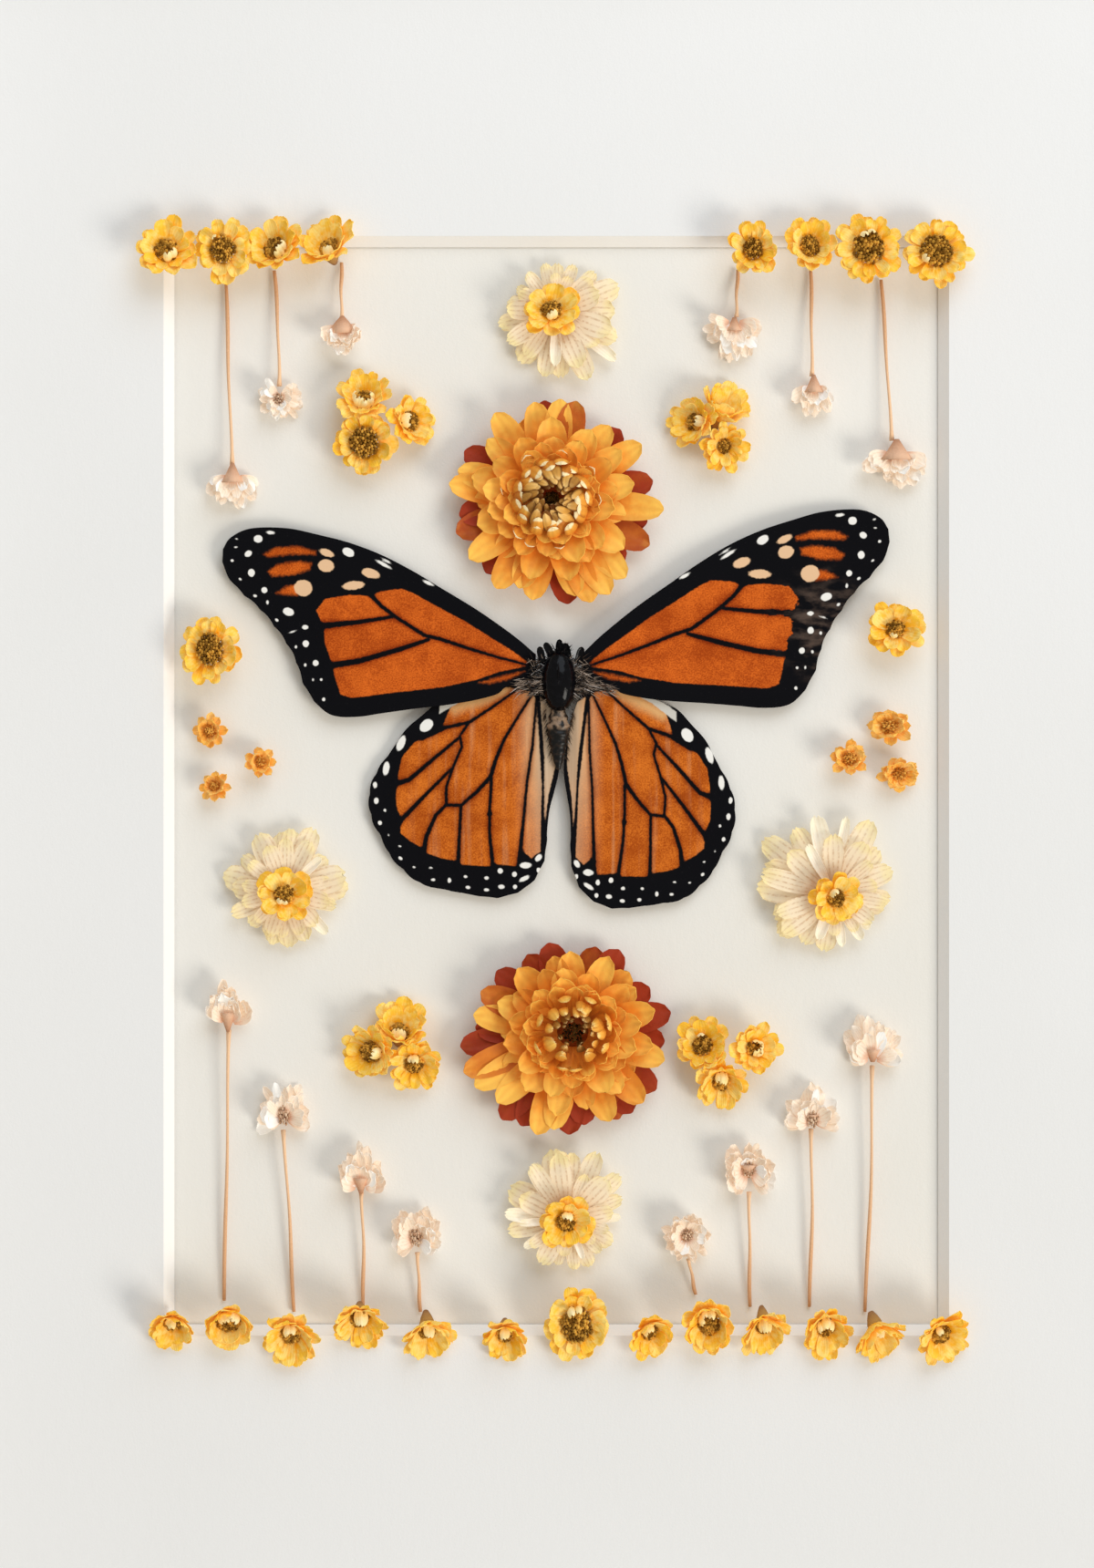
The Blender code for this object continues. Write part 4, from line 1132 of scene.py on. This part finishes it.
def cream_head(petals, spread, cone, closed):
    """A side flower lying along X with its stem end at the origin, in three layers from the back."""
    bm = new_flower()
    faces = set()
    neck, mouth = 5.6 * cone, 1.0 + 3.6 * cone
    fan = math.radians(spread)
    for share, length, rise, height in CREAM_LAYERS:
        count = round(petals * share)
        for index in range(count):
            azimuth = fan * ((index + 0.5) / count - 0.5) + dice.uniform(-0.2, 0.2)
            x, y = neck - 0.5 + 0.4 * math.cos(azimuth), 0.6 * mouth * math.sin(azimuth)
            place = Matrix.Translation((x, y, height)) @ Matrix.Rotation(azimuth, 4, "Z")
            place = place @ Matrix.Rotation(dice.uniform(-0.22, 0.22), 4, "X")
            white = dice.random() < 0.16
            faces |= add_petal(
                bm, place, length * dice.uniform(0.65, 1.15), dice.uniform(1.3, 2.7),
                rise + dice.uniform(-0.05, 0.12), dice.uniform(-0.4, 0.3) + 1.2 * closed * share, 0.14,
                int(white), wobble=0.04)
    thicken(bm, faces, CREAM_SHEET)
    if spread > 200:
        add_beads(bm, 26, 1.3, 2.2, 0.27, 3, 0.5)
        beads = {vert for face in bm.faces if face.material_index == 3 for vert in face.verts}
        bmesh.ops.translate(bm, vec=(neck, 0, 0), verts=list(beads))
    before = set(bm.verts)
    add_cone(bm, 0.35, mouth, 0.0, neck + 0.7, 2, 10, 0.5 if closed > 0.8 else -0.12)
    laid = Matrix.Translation((-0.2, 0, 1.8)) @ Matrix.Rotation(math.pi / 2, 4, "Y")
    bmesh.ops.transform(bm, matrix=laid, verts=[vert for vert in bm.verts if vert not in before])
    return bm


def stem(bm, start, end, low, high):
    """A thin round stem, in mm, with a slight bow and gently uneven thickness."""
    along = bm.verts.layers.float["along"]
    made = bmesh.ops.create_grid(bm, x_segments=14, y_segments=STEM_SIDES, size=0.5)["verts"]
    run = Vector((end[0] - start[0], end[1] - start[1]))
    side = Vector((-run.y, run.x)).normalized()
    bow = dice.uniform(-0.012, 0.012) * run.length
    for vert in made:
        t, turn = vert.co.x + 0.5, (vert.co.y + 0.5) * math.tau
        radius = 0.27 + 0.05 * math.sin(7 * t + bow) + (0.12 if t > 0.97 else 0.0)
        sway = bow * math.sin(math.pi * t) + 0.08 * math.sin(9 * t) + radius * math.cos(turn)
        x, y = Vector(start) + run * t + side * sway
        vert[along] = t
        vert.co = (x, y, low + (high - low) * t + radius * math.sin(turn))
    faces = list({face for vert in made for face in vert.link_faces})
    bmesh.ops.remove_doubles(bm, verts=made, dist=0.001)
    rims = {edge for face in faces for edge in face.edges if edge.is_boundary}
    faces += bmesh.ops.holes_fill(bm, edges=list(rims))["faces"]
    bmesh.ops.recalc_face_normals(bm, faces=faces)
    dress(faces, 4)


cream_finishes = [
    papery_finish("cream_petal", (0.86, 0.54, 0.37), (1.0, 0.86, 0.70), (1.0, 0.90, 0.78), 0.7, 0.85),
    papery_finish("cream_white_petal", (0.96, 0.84, 0.74), (1.0, 0.98, 0.94), (1.0, 0.98, 0.94), 0.2, 0.9),
    bract_finish("cream_cone", (0.56, 0.28, 0.16), (0.86, 0.54, 0.36)),
    bead_finish("cream_florets", (0.50, 0.30, 0.18), (0.86, 0.66, 0.48)),
    bract_finish("cream_stem", (0.70, 0.37, 0.19), (0.95, 0.62, 0.38)),
]

for node, (start, neck, middle, width, length, petals, spread, cone, closed) in CREAM.items():
    low, high = box_mm(node)
    head = cream_head(petals, spread, cone, closed)
    quarter = math.radians(-90 if node.startswith("hanging") else 90)
    bmesh.ops.transform(head, matrix=Matrix.Rotation(quarter, 4, "Z"), verts=head.verts)
    settle(head, ((middle[0] - width / 2, middle[1] - length / 2, low.z),
                  (middle[0] + width / 2, middle[1] + length / 2, high.z)), 0, 0)
    stalk = new_flower()
    stem(stalk, start, neck, low.z + 0.3, low.z + 1.7)
    flower = join_heads(node + "_petals", [head, stalk], cream_finishes)
    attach(flower, "root")
    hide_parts(node)

# The six small orange flowers are dried whole too. Each is a star of short pointed petals round a
# raised grainy middle.
# One flower is: petals, disc size, cup, lean and its direction in degrees.
ORANGE = {
    "orange_flower_left_1": (8, 0.35, 0.2, 12, 200), "orange_flower_left_2": (7, 0.25, 0.3, 10, 30),
    "orange_flower_left_3": (8, 0.30, 0.2, 14, 120), "orange_flower_right_1": (8, 0.30, 0.25, 20, 160),
    "orange_flower_right_2": (8, 0.35, 0.3, 12, 80), "orange_flower_right_3": (9, 0.35, 0.2, 16, 320),
}
ORANGE_SHEET = 0.08


def orange_head(petals, disc, cup):
    """A small star flower facing up, in two layers of pointed petals."""
    bm = new_flower()
    faces = set()
    for layer in range(2):
        for index in range(petals):
            azimuth = math.tau * (index + 0.5 * layer) / petals + dice.uniform(-0.15, 0.15)
            faces |= add_petal(
                bm, ring_place(azimuth, 0.8, 1.5 + 0.3 * layer), dice.uniform(2.0, 2.8) - 0.6 * layer, 1.7,
                cup + 0.5 * layer, dice.uniform(-0.4, 0.2), 0.4, 0, 0.1, 0.6, (5, 4), 0.06)
    thicken(bm, faces, ORANGE_SHEET)
    add_beads(bm, 30, 0.8 + disc, 2.0, 0.24, 1, 0.7)
    add_cone(bm, 0.4, 1.0, 0.0, 1.6, 2)
    return bm


orange_finishes = [
    petal_finish("orange_petal", (0.90, 0.35, 0.035), (1.0, 0.55, 0.10), (1.0, 0.70, 0.24), 0.00009),
    bead_finish("orange_florets", (0.55, 0.19, 0.02), (0.95, 0.55, 0.12)),
    bract_finish("orange_cone", (0.36, 0.15, 0.05), (0.62, 0.28, 0.07)),
]

for node, (petals, disc, cup, tilt, toward) in ORANGE.items():
    head = orange_head(petals, disc, cup)
    settle(head, box_mm(node), tilt, toward)
    flower = join_heads(node + "_petals", [head], orange_finishes)
    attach(flower, "root")
    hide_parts(node)

# The butterfly's body is dry and glossy black, its head lost but for stubs and tufts. Grey-brown
# hair grows over the wing roots, and the shrunken abdomen is ringed. It carries the wings.


def add_hair(bm, base, out, length, width, kind):
    """One strand or scale: a thin three-sided spike, in mm."""
    turn = Vector((0, 0, 1)).rotation_difference(Vector(out)).to_matrix().to_4x4()
    place = Matrix.Translation(base) @ turn @ Matrix.Translation((0, 0, length / 2))
    made = bmesh.ops.create_cone(
        bm, cap_ends=True, segments=3, radius1=width / 2, radius2=width / 12, depth=length,
        matrix=place)["verts"]
    tone, shade = bm.verts.layers.float["tone"], dice.random()
    for vert in made:
        vert[tone] = shade
        for face in vert.link_faces:
            face.material_index = kind


def turned_body(bm, profile, axis_x, axis_z, flatten, kind, sides=24):
    """A closed shape turned about a line along Y, in mm, from (y, radius) pairs."""
    along = bm.verts.layers.float["along"]
    made = spun_shell(bm, [(max(radius, 0.002), y, 0.0) for y, radius in profile], (0, 1, 0), sides)
    for vert in {vert for face in made for vert in face.verts}:
        vert[along] = vert.co.y
        vert.co = (axis_x + vert.co.x, vert.co.y, axis_z + vert.co.z * flatten)
    dress(made, kind)


def smooth_profile(points, count):
    """Evenly spaced (y, radius) pairs through a few given ones."""
    run, fine = np.linspace(0, 1, len(points)), np.linspace(0, 1, count)
    return list(zip(*(np.interp(fine, run, column).tolist() for column in zip(*points))))


def shell_finish(name, dark, light, rough, gloss, patch=None):
    """Dry black shell. A patch is paler skin between two places along the body, in mm."""
    shell, sockets, where = new_finish(name, Roughness=rough, Specular_IOR_Level=gloss)
    grain = where.noise(0.0007, 4.0)
    colour = grain.ramp(0.45, 0.85).blend(dark, light)
    if patch:
        along = attribute(where, "along")
        within = along.ramp(patch[0] - 0.8, patch[0]) * along.ramp(patch[1] + 0.8, patch[1])
        colour = (within * where.noise(0.0012, 4.0).ramp(0.4, 0.6)).blend(colour, (0.30, 0.20, 0.13))
    feed(colour, sockets["Base Color"])
    feed(grain.bump(0.00005, 0.8), sockets["Normal"])
    return shell


def hair_finish(name, dark, light):
    """Dull hair, each strand of its own shade. A few strands are near white: partly pale hair, partly a
    painted glint.
    """
    hair, sockets, where = new_finish(name, Roughness=0.8, Specular_IOR_Level=0.2)
    tone = attribute(where, "tone")
    colour = tone.ramp(0.2, 0.9).blend(dark, light)
    pale_and_glint = [0.4 + 0.6 * value for value in light]
    # Painted highlight: the palest strands stand in for glints on the hair as well as pale hairs.
    feed(tone.ramp(0.9, 1.0).blend(colour, pale_and_glint), sockets["Base Color"])
    return hair


TUFT_SHEET = 0.1
RINGS = 7
RINGED_FROM, RINGED_TO = 12.6, 2.5
low, high = box_mm("butterfly_body")
axis_x, axis_z = (low.x + high.x) / 2, (low.z + high.z) / 2
body = new_flower()
thorax = [(22.0, 0.0), (21.8, 0.9), (21.1, 1.7), (19.8, 2.35), (18.3, 2.75), (16.9, 2.85), (15.4, 2.7),
          (13.9, 2.3), (12.7, 1.6), (12.1, 0.7), (12.0, 0.0)]
turned_body(body, smooth_profile(thorax, 31), axis_x, axis_z, 0.98, 0)
head = [(22.6, 0.0), (22.5, 0.5), (22.1, 0.8), (21.6, 0.8), (21.2, 0.5), (21.0, 0.0)]
turned_body(body, smooth_profile(head, 16), axis_x + 0.3, axis_z - 0.2, 1.0, 0, 16)
abdomen = []
for step in range(41):
    t = step / 40
    y = RINGED_FROM + (RINGED_TO - RINGED_FROM) * t
    swell = 1.9 * math.sin(math.pi * min(0.2 + 0.6 * t, 0.5)) * (1 - max(t - 0.3, 0) ** 1.3 * 1.35)
    rings = 1.0 + 0.08 * math.cos(t * RINGS * math.tau)
    abdomen.append((y, 0.0 if step in (0, 40) else max(swell * rings, 0.1)))
turned_body(body, abdomen, axis_x - 0.1, axis_z - 0.3, 0.8, 1)
ridge = Matrix.Translation((axis_x - 0.05, 18.0, axis_z + 2.62)) @ Matrix.Diagonal((0.16, 1.9, 0.35, 1.0))
made = bmesh.ops.create_icosphere(body, subdivisions=2, radius=1.0, matrix=ridge)["verts"]
dress({face for vert in made for face in vert.link_faces}, 0)
tufts = set()
for x, y, lean in (
        (-2.2, 20.4, 0.2), (-0.6, 21.3, 0.5), (0.3, 21.6, -0.1), (2.0, 21.0, 0.25), (3.4, 20.4, -0.3)):
    place = Matrix.Translation((axis_x + x - 0.4, y - 0.5, axis_z + 0.6))
    place = place @ Matrix.Rotation(math.pi / 2 + lean, 4, "Z")
    tufts |= add_petal(body, place, 2.6, 1.1, 0.3, -0.4, 0.6, 0, 0.05, 0.8, (5, 4), 0.03, 0.0)
thicken(body, tufts, TUFT_SHEET)
# Hair on the wing roots, on the flanks, round the thorax, along the abdomen and round the head.
for _ in range(420):
    side, t = dice.choice((-1, 1)), dice.random()
    far = dice.random() ** 1.5 * (5.0 if side < 0 else 7.6)
    drop = (14.9 + 2.6 * t) if side < 0 else (14.9 + (4.2 - 0.42 * far) * t)
    base = (axis_x + side * (2.3 + far * 0.85), drop, axis_z + dice.uniform(0.25, 0.8) * (1.2 - far / 9))
    out = (side * dice.uniform(0.6, 1.3), dice.uniform(-0.75, 0.35), dice.uniform(0.0, 0.35))
    add_hair(body, base, out, dice.uniform(0.7, 1.9), 0.13, 2)
for _ in range(260):
    side = dice.choice((-1, 1))
    base = (axis_x + side * dice.uniform(2.3, 4.4), dice.uniform(14.6, 20.6),
            axis_z + dice.uniform(0.0, 1.0))
    out = (side * dice.uniform(0.2, 1.0), dice.uniform(-0.8, 0.8), dice.uniform(0.0, 0.3))
    add_hair(body, base, out, dice.uniform(0.7, 1.7), 0.20, dice.choice((0, 2, 3)))
for _ in range(360):
    turn = dice.uniform(0, math.tau)
    base = (axis_x + dice.uniform(2.2, 3.2) * math.cos(turn), 17.2 + 4.0 * math.sin(turn),
            axis_z + dice.uniform(-1.2, 0.8))
    out = (math.cos(turn), 0.9 * math.sin(turn) + dice.uniform(-0.5, 0.5), dice.uniform(0.0, 0.6))
    add_hair(body, base, out, dice.uniform(0.6, 1.6), 0.16, dice.choice((0, 0, 0, 2)))
for _ in range(110):
    spin = dice.choice((0, math.pi)) + dice.uniform(-0.5, 0.5)
    t = dice.random() ** 1.6
    base = (axis_x + (2.3 - 1.2 * t) * math.cos(spin), 12.4 - 8.0 * t, axis_z - 0.6 + 0.8 * math.sin(spin))
    out = (0.7 * math.cos(spin), -1.2, 0.3 * math.sin(spin))
    add_hair(body, base, out, dice.uniform(0.6, 1.3), 0.14, 3)
for _ in range(90):
    spin = dice.uniform(0, math.pi)
    base = (axis_x + 0.3 + 1.3 * math.cos(spin), dice.uniform(20.6, 22.6), axis_z + 1.3 * math.sin(spin))
    out = (math.cos(spin), dice.uniform(0.2, 1.4), math.sin(spin) * 0.7)
    add_hair(body, base, out, dice.uniform(0.5, 1.1), 0.12, 0)
butterfly_body = join_heads("butterfly_dry_body", [body], [
    shell_finish("body_shell", (0.002, 0.002, 0.003), (0.005, 0.005, 0.007), 0.12, 0.13),
    shell_finish("abdomen_skin", (0.003, 0.003, 0.003), (0.05, 0.03, 0.02), 0.35, 0.25, (9.6, 11.8)),
    hair_finish("root_hair", (0.03, 0.020, 0.014), (0.46, 0.35, 0.27)),
    hair_finish("abdomen_hair", (0.012, 0.009, 0.007), (0.11, 0.065, 0.04)),
])
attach(butterfly_body, "root")
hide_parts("butterfly_body")

# The bounds of the finished model.
low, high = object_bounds()
